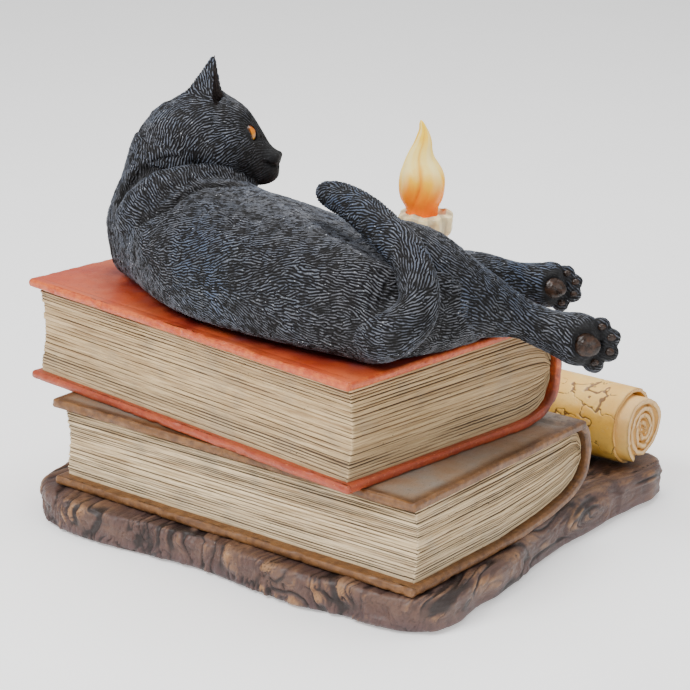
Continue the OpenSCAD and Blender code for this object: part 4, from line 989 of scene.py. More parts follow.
def weave(V, N, area, flow, pitch, seed, density=0.55, su=1.7, sb=0.95, turn=0.20, rounds=3):
    """Evenly spaced wavy ridges along the flow: local waves across it, their phases pulled into step."""
    rs = np.random.RandomState(seed)
    cum = np.cumsum(area); n = int(cum[-1] * density)
    pick = np.unique(np.clip(np.searchsorted(cum, (np.arange(n) + rs.uniform(0, 1, n)) / n * cum[-1]), 0, len(V) - 1))
    C = V[pick]; Nc = N[pick]; f = flow[pick]
    f = unit(f - (f * Nc).sum(1)[:, None] * Nc); b0 = np.cross(Nc, f)
    a = rs.normal(0, turn, len(C))
    f = f * np.cos(a)[:, None] + b0 * np.sin(a)[:, None]; b = np.cross(Nc, f)
    k = 2 * np.pi / (pitch * np.exp(rs.normal(0, 0.16, len(C))))
    R = 2.7; th = rs.uniform(0, 2 * np.pi, len(C))
    I, J, W, H = [], [], [], []
    for i, j, D in pairs(C, C, R):
        ok = (i != j) & ((Nc[i] * Nc[j]).sum(1) > 0.3); i, j, D = i[ok], j[ok], D[ok]
        du = -(D * f[j]).sum(1); db = -(D * b[j]).sum(1)
        I.append(i); J.append(j); W.append(np.exp(-(du / su) ** 2 - (db / sb) ** 2)); H.append(k[j] * db)
    I, J, W, H = map(np.concatenate, (I, J, W, H))
    for _ in range(rounds):
        p = th[J] + H
        sr = np.bincount(I, W * np.cos(p), len(C)) + 0.25 * np.cos(th); si = np.bincount(I, W * np.sin(p), len(C)) + 0.25 * np.sin(th)
        th = np.arctan2(si, sr)
    Sr = np.zeros(len(V)); Si = np.zeros(len(V)); Sw = np.zeros(len(V))
    for i, j, D in pairs(C, V, R):
        ok = (N[j] * Nc[i]).sum(1) > 0.2; i, j, D = i[ok], j[ok], D[ok]
        du = (D * f[i]).sum(1); db = (D * b[i]).sum(1)
        w = np.exp(-(du / su) ** 2 - (db / sb) ** 2) * (1 - (D * D).sum(1) / (R * R)) ** 2
        p = th[i] + k[i] * db
        Sr += np.bincount(j, w * np.cos(p), len(V)); Si += np.bincount(j, w * np.sin(p), len(V)); Sw += np.bincount(j, w, len(V))
    return 0.5 + 0.5 * np.cos(np.arctan2(Si, Sr)), np.hypot(Sr, Si) / np.maximum(Sw, 1e-6)

def nearest_tangent(tube, V):
    d, t, i = tube(V, True)
    return t, i

# ---- fields
def torso_core(P):
    d = Tube_t(P)
    d = smin(d, Tube_n(P), 7.0)
    return d
Tube_t = Tube(torso_rows, 3, q_up=2.2, q_dn=3.6)
Tube_n = Tube(neck_rows, 2, up=(1, 0, 0))
TAIL = Tube(tail_rows, 4, up=(0.6, -0.75, 0.3))
TAIL_ROOT = Tube(tail_rows[:4], 4, up=(0.6, -0.75, 0.3), shrink=0.7)
HR = Tube(hind_r_rows, 3); HR_ROOT = Tube(hind_r_rows[:5], 3, shrink=0.8)
HL = Tube(hind_l_rows, 3); HL_ROOT = Tube(hind_l_rows[:3], 3, shrink=0.7)
FR = Tube(fore_r_rows, 3); FR_ROOT = Tube(fore_r_rows[:4], 3, shrink=0.7)
FL = Tube(fore_l_rows, 3); FL_ROOT = Tube(fore_l_rows[:4], 3, shrink=0.7)
HEAD = Sections(head_rows)
def head_field(P, small=0.0):
    L = to_local(P, HEAD_R, HEAD_P)
    d = HEAD(L)
    for s in (-1, 1):
        d = smin(d, ball(L, (11.6, 4.6, 8.2 * s), (4.6, 3.2, 3.8)), 2.5)          # brow
        d = smin(d, ball(L, (5.0, -8.0, 9.0 * s), (8.5, 7.5, 6.6)), 4.0)           # cheek
        d = smin(d, ball(L, (22.6, -9.6, 3.3 * s), (4.2, 3.3, 3.7)), 1.8)          # whisker pad
    d = smin(d, ball(L, (26.1, -7.5, 0), (1.9, 1.7, 2.4)), 1.0)                    # nose
    d = smin(d, ball(L, (22.3, -14.4, 0), (4.2, 3.2, 4.2)), 1.8)                   # chin
    d += small
    if small: return d
    for s in (-1, 1):
        c = [[27.4, -10.4, 0.0, 0.4], [25.9, -11.6, 2.3 * s, 0.6], [22.9, -12.2, 5.0 * s, 0.6], [19.6, -11.6, 7.4 * s, 0.35]]
        d = smax(d, -capsules(L, c, 0.3), 0.5)
        d = smax(d, -ball(L, (27.6, -8.0, 1.5 * s), (0.9, 0.6, 0.7)), 0.4)
        d = smax(d, -capsules(L, [[25.6, -4.2, 2.4 * s, 0.4], [22.0, -3.0, 4.6 * s, 0.7], [18.9, -2.8, 6.6 * s, 0.5]], 0.3), 1.0)
        # eye
        E = eye_frame(L, s)
        rho = np.sqrt(((E[:, 0] + 0.42 * E[:, 1]) / 1.62) ** 2 + (E[:, 1] / 2.65) ** 2)
        r3 = np.linalg.norm(E, axis=1)
        lid = (r3 - 4.55) 
        front = E[:, 2] > 0
        d = np.where(front, smin(d, np.maximum(lid, rho * 2.2 - 3.6), 1.0), d)
        hole = np.maximum(r3 - 6.5, (rho - 1.0) * 2.2)
        hole = np.where(E[:, 2] > 1.0, hole, 9.0)
        d = smax(d, -hole, 0.45)
    return d

EYE_C = (14.15, -1.8, 8.2); EYE_R = 3.9
def eye_frame(L, s):
    a = math.radians(47)
    z = np.array([math.sin(a), -0.02, math.cos(a) * s]); z /= np.linalg.norm(z)
    y = np.array([0.0, 1.0, 0.0]); x = np.cross(y, z) * s; x /= np.linalg.norm(x); y = np.cross(z, x) * s
    D = L - np.array([EYE_C[0], EYE_C[1], EYE_C[2] * s])
    return np.stack([D @ x, D @ y, D @ z], 1)

def hull_planes(A, grow):
    """Outward planes of a tetrahedron."""
    A = np.array(A, float); cen = A.mean(0); out = []
    for i in range(4):
        f = [A[j] for j in range(4) if j != i]
        n = np.cross(f[1] - f[0], f[2] - f[0]); n /= np.linalg.norm(n)
        if n @ (cen - f[0]) > 0: n = -n
        out.append((n, n @ f[0] + grow))
    return out
def tetra(L, A, grow, k=1.2):
    d = None
    for n, o in hull_planes(A, grow):
        e = L @ n - o
        d = e if d is None else smax(d, e, k)
    return d

def ear_field(L, s):
    B1, B2, B3, T = [np.array(v, float) for v in ((-10.6, 6.5, 4.8), (6.0, 9.0, 4.6), (1.6, 4.6, 12.9), (2.9, 24.6, 11.6))]
    M = L * [1, 1, s]
    # the back of the ear is round, and it leans out as it rises
    d = tetra(M, [B1, B2, B3, T], 0.75, 1.3)
    c = (B2 + B3 + T) / 3; n = np.cross(B3 - B2, T - B2); n /= np.linalg.norm(n); n = -n if n @ (c - B1) < 0 else n
    k = 0.78
    cup = [c + (B1 - c) * 0.55 + n * 0.3] + [c + (q - c) * k + n * 1.6 for q in (B2, B3, T)]
    e = tetra(M, cup, 0.25, 1.2)
    return d, e

def head_all(P):
    L = to_local(P, HEAD_R, HEAD_P)
    d = head_field(P)
    for s in (-1, 1):
        a, e = ear_field(L, s)
        d = smin(d, a, 2.6)
        d = smax(d, -e, 0.7)
    # the neck's own surface, so that the nape runs on
    d = smin(d, Tube_n(P) + 0.9, 3.0)
    below = ((P - np.array([-60.6, -31, 126.5])) @ unit([0.05, 0.35, 1.0]))
    d = smax(d, -(below + 4.0), 1.0)
    return d

def seat(P, d): return smax(d, FLOOR - P[:, 2], 0.35)

def torso_skin(P):
    d = torso_core(P)
    d = smin(d, head_field(P, 0.9), 5.0)
    top = (P - np.array([-58, -28, 131.0])) @ unit([0.2, 0.25, 1.0])
    return smax(d, top, 1.5)
# the roll of skin where the neck turns: points on the skin, half width, height
COLLAR = np.array([[-34.3,-25.0,122.6,2.7,1.3],[-36.0,-29.9,124.3,3.4,1.6],[-39.1,-33.2,125.2,4.3,1.9],[-42.4,-37.5,125.2,5.0,2.1],[-44.2,-42.8,124.5,5.5,2.2],
    [-46.9,-46.5,123.4,6.2,2.3],[-49.9,-49.4,121.7,6.8,2.4],[-53.9,-51.9,118.6,6.4,2.4],[-58.2,-53.5,114.6,6.0,2.2],[-61.6,-54.1,110.2,6.0,1.7],[-64.9,-53.8,105.2,6.0,0.8]])
FOLD_UP = [[-70.1,-50.1,112.4,0.5],[-67.6,-50.1,115.7,1.0],[-62.6,-49.6,122.2,1.2],[-59.6,-48.8,125.1,1.2],[-56.5,-47.3,127.0,1.2],[-52.5,-44.6,128.7,1.2],[-48.0,-40.0,129.0,1.2],[-45.5,-36.8,129.6,1.2],[-42.3,-29.5,128.2,1.2],[-38.1,-27.0,126.8,1.1],[-35.9,-21.6,124.4,0.8]]
FOLD_LOW = [[-51.9,-58.4,110.6,0.4],[-43.5,-59.2,115.4,0.8],[-37.4,-58.0,118.7,1.0],[-36.1,-51.7,122.1,1.1],[-34.8,-47.2,123.4,1.0],[-30.9,-42.7,124.0,0.9],[-25.3,-35.8,123.5,0.6]]
COLLAR[:, 4] *= 1.55
_n = unit(grad(torso_skin, COLLAR[:, :3], 0.5)); _r = (COLLAR[:, 3] ** 2 + COLLAR[:, 4] ** 2) / (2 * COLLAR[:, 4])
ROLL = np.column_stack([COLLAR[:, :3] - _n * (_r - COLLAR[:, 4])[:, None], _r]).tolist()

def body_field(P):
    d = torso_skin(P)
    d = smin(d, capsules(P, ROLL, 1.5), 1.0)
    d = smax(d, -(capsules(P, FOLD_UP, 0.5) - 0.9), 1.3)
    d = smax(d, -(capsules(P, FOLD_LOW, 0.5) - 0.8), 1.3)
    d = smin(d, TAIL_ROOT(P), 6.0)
    d = smin(d, capsules(P, [[57, -52, 93, 9.5], [61, -40, 92.5, 9.5], [65.5, -29, 91.5, 8.5]], 3.0), 4.0)
    d = smin(d, HR_ROOT(P), 4.0)
    d = smin(d, HL_ROOT(P), 4.0)
    d = smin(d, FR_ROOT(P), 3.0)
    d = smin(d, FL_ROOT(P), 3.0)
    return seat(P, d)

def over_book(P, d):
    """Rest on the board where there is one below."""
    x = P[:, 0] - 62; y = P[:, 1] + 86
    u = x * math.cos(-_ta) - y * math.sin(-_ta); v = x * math.sin(-_ta) + y * math.cos(-_ta)
    s = np.array([0, 84, 92, 98, 102, 104.6, 105.6]); hz = np.array([0, 0, 0.8, 2.6, 5.6, 10.5, 17])
    top = SEAT - np.interp(v, s, hz) + 0.15
    on = np.minimum(0.4 - u, 105.4 - v)
    return smax(d, np.minimum(top - P[:, 2], on), 0.4)

PAW_R, PAW_L = np.array([97.6, -4, 83.4]), np.array([73.6, 12.8, 94.4])
TOES = np.array([[4.6, 4.9], [7.8, 1.6], [7.2, -2.9], [2.4, -6.2]])
def paw(P, d, p, k, dpad):
    L = to_local(P, FACE, p)
    for i, (x, y) in enumerate(TOES):
        r = np.array([3.9, 3.3, 4.3]) if i < 3 else np.array([4.0, 3.4, 4.3])
        a = math.atan2(y + 0.5, x + 2.5)
        Q = L - [x * k, y * k, -1.2]
        Q = np.stack([Q[:, 0] * math.cos(a) + Q[:, 1] * math.sin(a), -Q[:, 0] * math.sin(a) + Q[:, 1] * math.cos(a), Q[:, 2]], 1)
        t = ball(Q, (0, 0, 0), r * k)
        d = smin(d, t, 0.45)
        d = smax(d, -ball(Q, (0.5 * k, 0, 3.9 * k), (1.85 * k, 1.5 * k, 1.1 * k)), 0.35)
    d = smax(d, -ball(L, (-0.3 * k, -0.8 * k, dpad + 1.3 * k), (5.5 * k, 5.3 * k, 4.1 * k)), 0.5)
    return d
def hind_r_field(P):
    d = HR(P); d = paw(P, d, PAW_R, 1.0, 7.4)
    return over_book(P, d)
def hind_l_field(P):
    d = HL(P); d = paw(P, d, PAW_L, 0.85, 6.7)
    return seat(P, d)
def fore_paw(P, d, pts, r):
    for q in pts: d = smin(d, ball(P, q, r), 0.6)
    return d
def fore_r_field(P):
    d = FR(P)
    d = fore_paw(P, d, [(-11.5, 9.2, 88.6), (-9.6, 6.6, 88.4), (-9.8, 3.6, 88.4), (-12.0, 1.4, 88.6)], (3.4, 2.0, 3.2))
    return seat(P, d)
def fore_l_field(P):
    d = FL(P)
    d = fore_paw(P, d, [(-30.6, 18.0, 88.2), (-28.8, 15.6, 88.0), (-28.9, 12.8, 88.0), (-30.8, 10.6, 88.2)], (3.3, 1.9, 3.1))
    return seat(P, d)
def tail_field(P):
    return seat(P, TAIL(P))

def flow_from(anchors, V, sharp=9.0):
    A = np.array([a[0] for a in anchors], float); D = unit([a[1] for a in anchors])
    out = np.zeros_like(V)
    for c in range(0, len(V), 50000):
        d2 = ((V[c:c + 50000, None] - A[None]) ** 2).sum(-1)
        w = np.exp(-(d2 - d2.min(1, keepdims=True)) / (2 * sharp ** 2))
        out[c:c + 50000] = (w @ D) / w.sum(1, keepdims=True)
    return unit(out)

def coat(name, fn, lo, hi, h, flow, pitch, amp, wrapf, mask=None, levels=2, seed=300):
    """Skin mesh with carved hair."""
    V, F = nets(fn, lo, hi, h)
    V = relax(fn, V, F, 2)
    step = h / 2 ** levels
    if levels > 2:
        V, F = subdivide(V, F, 1); levels -= 1
        g = grad(fn, V); V = V - g * np.clip(fn(V) / np.maximum((g * g).sum(1), 0.25), -0.8, 0.8)[:, None]
    V, F = subdivide(V, F, levels)
    N, area = normals(V, F)
    fl = flow(V)
    noise = np.stack([fbm(V / 8 + 50, 2, 201), fbm(V / 8 - 50, 2, 202), fbm(V / 8 + 90, 2, 203)], 1)
    fl = unit(fl + 0.38 * noise)
    r, mag = weave(V, N, area, fl, max(pitch, 3.7 * step), seed)
    cutn = sstep(0.10, 0.75, vnoise(V / 1.25, seed + 6))
    R = r * (0.25 + 0.75 * sstep(0.04, 0.36, mag)) * (1 - 0.46 * cutn) + 0.12 * vnoise(V / 0.8, seed + 5)
    R = np.clip(R * (1 + 0.22 * fbm(V / 3.5, 2, seed + 8)), 0, 1)
    mk = mask(V) if mask is not None else np.ones(len(V))
    flat = sstep(FLOOR + 0.05, FLOOR + 0.8, V[:, 2]) if not name.endswith("hind_right") else np.ones(len(V))
    W = V + N * ((amp * (R * mk - 0.55) + 0.10 * fbm(V / 5.0, 2, seed + 9)) * flat)[:, None]
    at = {"ridge": R * mk + 0.42 * (1 - mk)}
    if wrapf: at.update(wrapf(V, N, R))
    o = add_mesh(name, W, F, None, at)
    return o, V, N

# ---- flows of the coat
body_flow_anchors = [
    ((-60, -58, 104), (0.35, -0.1, -1.0)), ((-74, -48, 100), (0.1, -0.2, -1.0)), ((-84, -30, 98), (0.0, -0.2, -1.0)), ((-70, -50, 90), (0.25, 0, -1.0)), ((-50, -62, 92), (0.45, 0, -0.9)),
    ((-48, -60, 108), (1, 0, 0.30)), ((-30, -70, 108), (1, 0, 0.42)), ((-5, -76, 106), (1, 0, 0.45)), ((20, -76, 104), (1, 0, 0.36)), ((42, -74, 102), (1, 0, 0.15)), ((56, -68, 100), (1, 0.2, -0.05)),
    ((-25, -60, 119), (1, 0.2, 0.35)), ((5, -62, 121), (1, 0.35, 0.30)), ((30, -62, 120), (1, 0.5, 0.2)), ((48, -56, 116), (1, 0.5, 0.0)),
    ((-25, -40, 124), (1, 0.9, 0.1)), ((5, -45, 124), (1, 1.2, 0)), ((32, -45, 123), (1, 1.2, 0)), ((52, -44, 118), (1, 0.9, -0.2)),
    ((-20, -74, 88), (0.8, 0, -0.9)), ((5, -78, 88), (0.75, 0, -0.95)), ((28, -78, 88), (0.85, 0, -0.6)), ((46, -74, 88), (1, 0, -0.3)), ((60, -64, 90), (1, 0.4, -0.2)),
    ((-40, -70, 88), (0.6, 0, -1.0)),
    ((-20, -14, 112), (1, 0.5, -0.8)), ((10, -16, 110), (1, 0.5, -0.8)), ((35, -16, 108), (1, 0.3, -0.7)), ((-20, -14, 92), (0.5, 0.1, -1)), ((10, -16, 92), (0.5, 0.1, -1)), ((35, -18, 92), (0.6, 0.1, -0.9)),
    ((-66, -46, 120), (0.15, -0.2, -1.0)), ((-74, -34, 118), (0.0, -0.1, -1)), ((-60, -48, 130), (0.25, -0.1, -1)), ((-58, -16, 124), (0.1, 0.2, -1)), ((-68, -14, 112), (0.1, 0.2, -1)),
    ((-78, -42, 105), (0.2, -0.3, -0.95)), ((-66, -50, 112), (0.45, -0.3, -0.8)), ((-57, -52, 118), (0.75, -0.3, -0.6)), ((-49, -49, 122), (0.9, -0.2, -0.45)), ((-42, -38, 126), (0.9, -0.5, -0.35)), ((-34, -25, 123), (0.8, -0.5, -0.4)),
]
def body_flow(V): return flow_from(body_flow_anchors, V, 8.0)
def tube_flow(tube, bend=(0, 0, 0)):
    def f(V):
        t, i = nearest_tangent(tube, V)
        return unit(t + np.array(bend))
    return f
def hi_patch(V, seed, s=16.0): return 0.5 + 0.5 * np.clip(fbm(V / s, 3, seed) * 1.6, -1, 1)

def wrap(kind):
    def ex(V, N, R):
        p = hi_patch(V, 400)
        x, y, z = V.T
        if kind == "body":
            st = 0.25 + 0.75 * p
            # strongest on the shoulder, the upper flank and the belly curve
            g = np.exp(-(((x + 18) / 34) ** 2 + ((z - 108) / 12) ** 2)) + 0.5 * np.exp(-(((x - 6) / 26) ** 2 + ((z - 98) / 9) ** 2))
            st = st * (0.25 + 0.95 * np.clip(g, 0, 1)) * sstep(84, 90, z)
            st = st * np.where(x > 40, 0.55, 1.0)
            nk = sstep(110, 120, z) * sstep(-30, -42, x)
            st = st * (1 - nk) + nk * (0.16 + 0.34 * p)
            fd = np.minimum(capsules(V, FOLD_UP, 0.5), capsules(V, FOLD_LOW, 0.5))
            # the ridge value is lowered in the neck folds as painted shade in the creases, and the dry-brush is kept
            # out of them
            return {"dry": np.clip(st * (0.2 + 0.8 * sstep(0.5, 3.0, fd)), 0, 1), "ridge": R * (0.68 + 0.32 * sstep(0.0, 2.2, fd))}
        elif kind == "tail":
            st = (0.35 + 0.65 * p) * (0.35 + 0.65 * sstep(100, 122, z))
        elif kind == "leg":
            g = np.exp(-(((x - 69) / 9) ** 2 + ((z - 101) / 7) ** 2))
            st = (0.25 + 0.5 * p) * 0.6 + 0.9 * g
        else:
            st = 0.12 + 0.4 * p
        return {"dry": np.clip(st, 0, 1)}
    return ex

fur = Mat("painted_fur")
def build_fur(m):
    ridge, dry, cup = m.attr("ridge"), m.attr("dry"), m.attr("cup")
    n1_, n2_, n3_ = m.noise(0.16, 4, 0.6), m.noise(1.6, 4, 0.7), m.noise(0.55, 3, 0.6)
    rg = m.math("ADD", ridge, m.math("ADD", m.math("MULTIPLY", m.math("SUBTRACT", n2_, 0.5), 0.55), m.math("MULTIPLY", m.math("SUBTRACT", n3_, 0.5), 0.45)))
    # near-black grooves to lighter crests: dry-brushed paint, with the brightest crest tones partly a painted highlight
    c = m.ramp(rg, [(0.0, (0.0009, 0.0009, 0.0010)), (0.22, (0.0026, 0.0026, 0.0030)), (0.45, (0.0090, 0.0091, 0.0103)), (0.70, (0.0270, 0.0276, 0.0315)), (0.95, (0.115, 0.119, 0.133))])
    blue = m.ramp(n1_, [(0.35, (0.085, 0.104, 0.136)), (0.55, (0.064, 0.104, 0.190)), (0.7, (0.13, 0.140, 0.162))])
    top = m.rng(rg, 0.46, 1.0)
    c = m.mix(m.math("MULTIPLY", m.math("MULTIPLY", top, dry), 0.75), c, blue)
    c = m.mix(m.math("MULTIPLY", m.rng(n1_, 0.62, 0.40, 0, 0.5), 0.45), c, m.mix(0.6, c, (0.012, 0.009, 0.006)))
    # small whitish dots on the ridge crests: painted glints
    speck_and_glint = m.math("MULTIPLY", m.rng(m.voro(0.66), 0.18, 0.07), m.math("MULTIPLY", m.rng(ridge, 0.45, 0.75), m.rng(n2_, 0.46, 0.56)))
    c = m.mix(m.math("MULTIPLY", speck_and_glint, 0.85), c, (0.62, 0.64, 0.68))
    c = m.mix(m.math("MULTIPLY", cup, 0.80), c, m.ramp(n2_, [(0.35, (0.006, 0.0035, 0.003)), (0.65, (0.028, 0.015, 0.011))]))
    nb = m.bump(m.noise(2.6, 4, 0.7), 0.42, 0.16)
    out = m.done(c, m.rng(rg, 0.25, 0.95, 0.72, 0.27), nb, Specular_IOR_Level=0.22)
    return out
FUR = build_fur(fur)

body, BV, BN = coat("cat_coat_body", body_field, (-90, -80, 82), (73, 6, 134), 1.95, body_flow, 0.98, 0.50, wrap("body"), levels=3, seed=301)
piece(body, FUR, ["cat_body"])
tail, _, _ = coat("cat_coat_tail", tail_field, tuple(TAIL.lo), tuple(TAIL.hi), 1.7, tube_flow(TAIL, (0.25, 0.1, -0.55)), 0.98, 0.44, wrap("tail"), levels=3, seed=321)
piece(tail, FUR, ["cat_tail"])
lo = np.minimum(HR.lo, PAW_R - [11, 8, 11]); hi = np.maximum(HR.hi, PAW_R + [12, 10, 11])
def paw_mask(p, k):
    def f(V):
        L = to_local(V, FACE, p)
        return 1 - 0.85 * sstep(9.0 * k, 7.0 * k, np.hypot(L[:, 0] - 2.0 * k, L[:, 1] + 0.5)) * sstep(0.5, 2.5, L[:, 2]) * sstep(-6.0 * k, -4.6 * k, L[:, 0])
    return f
hr, _, _ = coat("cat_coat_hind_right", hind_r_field, lo, hi, 1.05, tube_flow(HR, (0, 0, -0.35)), 1.0, 0.42, wrap("leg"), paw_mask(PAW_R, 1.0), seed=331)
piece(hr, FUR, ["hind_leg_right"])
lo = np.minimum(HL.lo, PAW_L - [9, 7, 9]); hi = np.maximum(HL.hi, PAW_L + [11, 9, 10])
hl, _, _ = coat("cat_coat_hind_left", hind_l_field, lo, hi, 1.05, tube_flow(HL, (0, 0, -0.35)), 1.0, 0.42, wrap("leg"), paw_mask(PAW_L, 0.85), seed=341)
piece(hl, FUR, ["hind_leg_left"])
fr_, _, _ = coat("cat_coat_fore_right", fore_r_field, FR.lo - [0, 3, 0], FR.hi + [6, 3, 0], 1.2, tube_flow(FR, (0, 0, -0.25)), 1.14, 0.38, wrap("leg"), seed=351)
piece(fr_, FUR, ["foreleg_right"])
fl_, _, _ = coat("cat_coat_fore_left", fore_l_field, FL.lo - [0, 3, 0], FL.hi + [6, 5, 0], 1.2, tube_flow(FL, (0, 0, -0.25)), 1.14, 0.38, wrap("leg"), seed=361)
piece(fl_, FUR, ["foreleg_left"])

head_anchor_local = [((-18, 0, 0), (-0.5, -1, 0)), ((-12, 8, 6), (-0.9, -0.5, 0.1)), ((-14, -6, 8), (-0.35, -1, 0.1)), ((-4, 10, 8), (-1, 0.1, 0.2)), ((-2, 0, 14), (-0.8, -0.7, 0)), ((-6, -10, 10), (-0.5, -1, 0)),
    ((4, -8, 14), (-0.9, -0.55, 0)), ((6, 4, 14), (-1, 0.05, 0)), ((10, 9, 6), (-1, 0.45, 0)), ((15, 5, 4), (-0.6, 0.9, 0)), ((12, -6, 12), (-1, -0.35, 0)), ((20, -3, 3), (-0.5, 0.9, 0)), ((20, -9, 7), (-1, -0.5, 0.4)),
    ((3, 20, 10), (-0.35, 1, 0)), ((-4, 12, 8), (-0.6, 0.8, 0)), ((2, 14, 9), (-0.3, 1, 0))]
ha = []
for p, d in head_anchor_local:
    for s in (1, -1):
        ha.append((to_world(np.array([p[0], p[1], p[2] * s]), HEAD_R, HEAD_P), np.array([d[0], d[1], d[2] * s]) @ HEAD_R.T))
def head_flow(V): return flow_from(ha, V, 4.5)
def head_mask(V):
    L = to_local(V, HEAD_R, HEAD_P)
    m = 0.10 + 0.55 * sstep(25.0, 16.0, L[:, 0]) + 0.35 * sstep(15.0, 6.0, L[:, 0])
    for s in (-1, 1):
        E = eye_frame(L, s)
        m = m * (0.06 + 0.94 * sstep(2.7, 4.2, np.linalg.norm(E[:, :2], axis=1) + np.where(E[:, 2] < 0, 9, 0)))
        a, e = ear_field(L, s)
        m = m * (0.25 + 0.75 * sstep(-0.2, 1.0, e))
    return np.clip(m, 0.0, 1)
def head_extra(V, N, R):
    L = to_local(V, HEAD_R, HEAD_P)
    cup = np.zeros(len(V))
    for s in (-1, 1):
        a, e = ear_field(L, s); cup = np.maximum(cup, sstep(0.9, 0.1, np.abs(e)) * (a < 0.6))
    st = (0.10 + 0.34 * hi_patch(V, 410, 9)) * sstep(22, 4, L[:, 0]) + 0.06 + 0.4 * sstep(12, 22, L[:, 1])
    return {"dry": np.clip(st, 0, 1), "cup": cup}
hlo = to_world([-20, -20, -17], HEAD_R, HEAD_P); 
corners = np.array([to_world([x, y, z], HEAD_R, HEAD_P) for x in (-21, 29) for y in (-20, 26) for z in (-18, 18)])
head, _, _ = coat("cat_coat_head", head_all, corners.min(0), corners.max(0), 0.9, head_flow, 0.94, 0.38, head_extra, head_mask, seed=371)
piece(head, FUR, ["cat_head"])

# ---- eyes
def make_eye(name, s, nodes):
    nu, nv = 72, 40
    V = []
    for i in range(nu):
        for j in range(nv):
            a = 2 * math.pi * i / nu; t = math.radians(3 + 174 * (j / (nv - 1)))
            r = EYE_R * (1 + 0.035 * math.exp(-(math.degrees(t) / 32.0) ** 2))
            V.append([r * math.sin(t) * math.cos(a), r * math.sin(t) * math.sin(a), r * math.cos(t)])
    V = np.array(V); c0 = len(V); V = np.vstack([V, [[0, 0, EYE_R * 1.035], [0, 0, -EYE_R]]])
    a = math.radians(47)
    z = np.array([math.sin(a), -0.02, math.cos(a) * s]); z /= np.linalg.norm(z)
    x = np.cross([0, 1.0, 0], z) * s; x /= np.linalg.norm(x); y = np.cross(z, x) * s
    W = V[:, :1] * x + V[:, 1:2] * y + V[:, 2:] * z + np.array([EYE_C[0], EYE_C[1], EYE_C[2] * s])
    W = to_world(W, HEAD_R, HEAD_P)
    o = add_mesh(name, W, grid_faces(nu, nv, wrap_u=True, flip=(s > 0)), np.vstack([fan(np.arange(nu) * nv, c0, s < 0), fan(np.arange(nu) * nv + nv - 1, c0 + 1, s > 0)]),
        {"ex": V[:, 0], "ey": V[:, 1], "ez": V[:, 2]})
    import bmesh
    bm = bmesh.new(); bm.from_mesh(o.data); bmesh.ops.recalc_face_normals(bm, faces=bm.faces); bm.to_mesh(o.data); bm.free()
    return o
def mat_eye():
    m = Mat("gloss_amber_eye")
    ex, ey = m.attr("ex"), m.attr("ey")
    pup = m.math("ADD", m.math("POWER", m.math("DIVIDE", m.math("SUBTRACT", ex, 1.15), 0.30), 2.0), m.math("POWER", m.math("DIVIDE", ey, 2.2), 2.0))
    rad = m.math("SQRT", m.math("ADD", m.math("MULTIPLY", ex, ex), m.math("MULTIPLY", ey, ey)))
    n = m.noise(0.9, 3, 0.6)
    c = m.ramp(m.math("ADD", m.math("MULTIPLY", ey, -0.2), m.math("ADD", 0.5, m.math("MULTIPLY", m.math("SUBTRACT", n, 0.5), 0.4))), [(0.0, (0.34, 0.075, 0.0)), (0.4, (0.58, 0.165, 0.0)), (0.7, (0.72, 0.26, 0.006)), (1.0, (0.85, 0.42, 0.05))])
    c = m.mix(m.rng(pup, 1.1, 0.8), c, (0.006, 0.004, 0.003))
    sl = m.math("DIVIDE", m.math("ADD", ex, m.math("MULTIPLY", ey, 0.42)), 1.62)
    ring = m.math("SQRT", m.math("ADD", m.math("MULTIPLY", sl, sl), m.math("POWER", m.math("DIVIDE", ey, 2.65), 2.0)))
    c = m.mix(m.rng(ring, 0.66, 0.92, 0, 0.92), c, (0.03, 0.010, 0.002))
    c = m.mix(m.rng(rad, 3.0, 3.4), c, (0.02, 0.008, 0.002))
    nb = m.bump(m.noise(1.4, 2, 0.5), 0.08, 0.1)
    return m.done(c, m.rng(n, 0.3, 0.7, 0.10, 0.16), nb, Specular_IOR_Level=0.30, Coat_Weight=0.25, Coat_Roughness=0.06)
EYE = mat_eye()
piece(make_eye("eye_right_amber", 1, ()), EYE, ["eye_right"])
piece(make_eye("eye_left_amber", -1, ()), EYE, ["eye_left"])

# ---- pads
def dome(c, R, rx, ry, hgt, seed, lobes=0.0):
    """Soft pad: rings from the rim to the middle, and a closed back."""
    nu, nr = 96, 26
    V, H = [], []
    for i in range(nu):
        a = 2 * math.pi * i / nu
        k = 1 + lobes * math.cos(3 * a + 0.6)
        for j in range(nr):
            t = math.radians(-50 + 139 * j / (nr - 1))
            V.append([rx * k * math.cos(t), ry * k * math.cos(t), hgt * math.sin(t)]); V[-1][0] *= math.cos(a); V[-1][1] *= math.sin(a)
            H.append(math.sin(t))
    V = np.array(V)
    P = to_world(V, R, c)
    n = unit(P - to_world([[0, 0, -2.0]], R, c))
    P = P + n * (0.10 * fbm(P / 1.4, 3, seed) + 0.10 * vnoise(P / 3.0, seed + 4))[:, None]
    m = len(P)
    P = np.vstack([P, to_world([[0, 0, hgt * math.sin(math.radians(-50))], [0, 0, hgt]], R, c)])
    q = grid_faces(nu, nr, wrap_u=True)
    t3 = np.vstack([fan(np.arange(nu) * nr, m, True), fan(np.arange(nu) * nr + nr - 1, m + 1)])
    return P, q, t3, np.array(H + [-0.8, 1.0])
def make_pads(name, p, k, d):
    Ps, Qs, Ts, Hs, b = [], [], [], [], 0
    items = [((-0.3 * k, -0.8 * k, d - 2.75 * k), 4.5 * k, 4.3 * k, 2.2 * k, 0.07)]
    for x, y in TOES:
        q = math.hypot(x + 2.5, y + 0.5); items.append(((x * k + 0.5 * k * (x + 2.5) / q, y * k + 0.5 * k * (y + 0.5) / q, 1.45 * k), 1.6 * k, 1.3 * k, 1.1 * k, 0.02))
    for i, (c, rx, ry, h, lb) in enumerate(items):
        c = to_world(c, FACE, p)
        P, q, t, H = dome(c, FACE, rx, ry, h, 500 + i, lb)
        Ps.append(P); Qs.append(q + b); Ts.append(t + b); Hs.append(H); b += len(P)
    return add_mesh(name, np.vstack(Ps), np.vstack(Qs), np.vstack(Ts), {"dome": np.concatenate(Hs)})
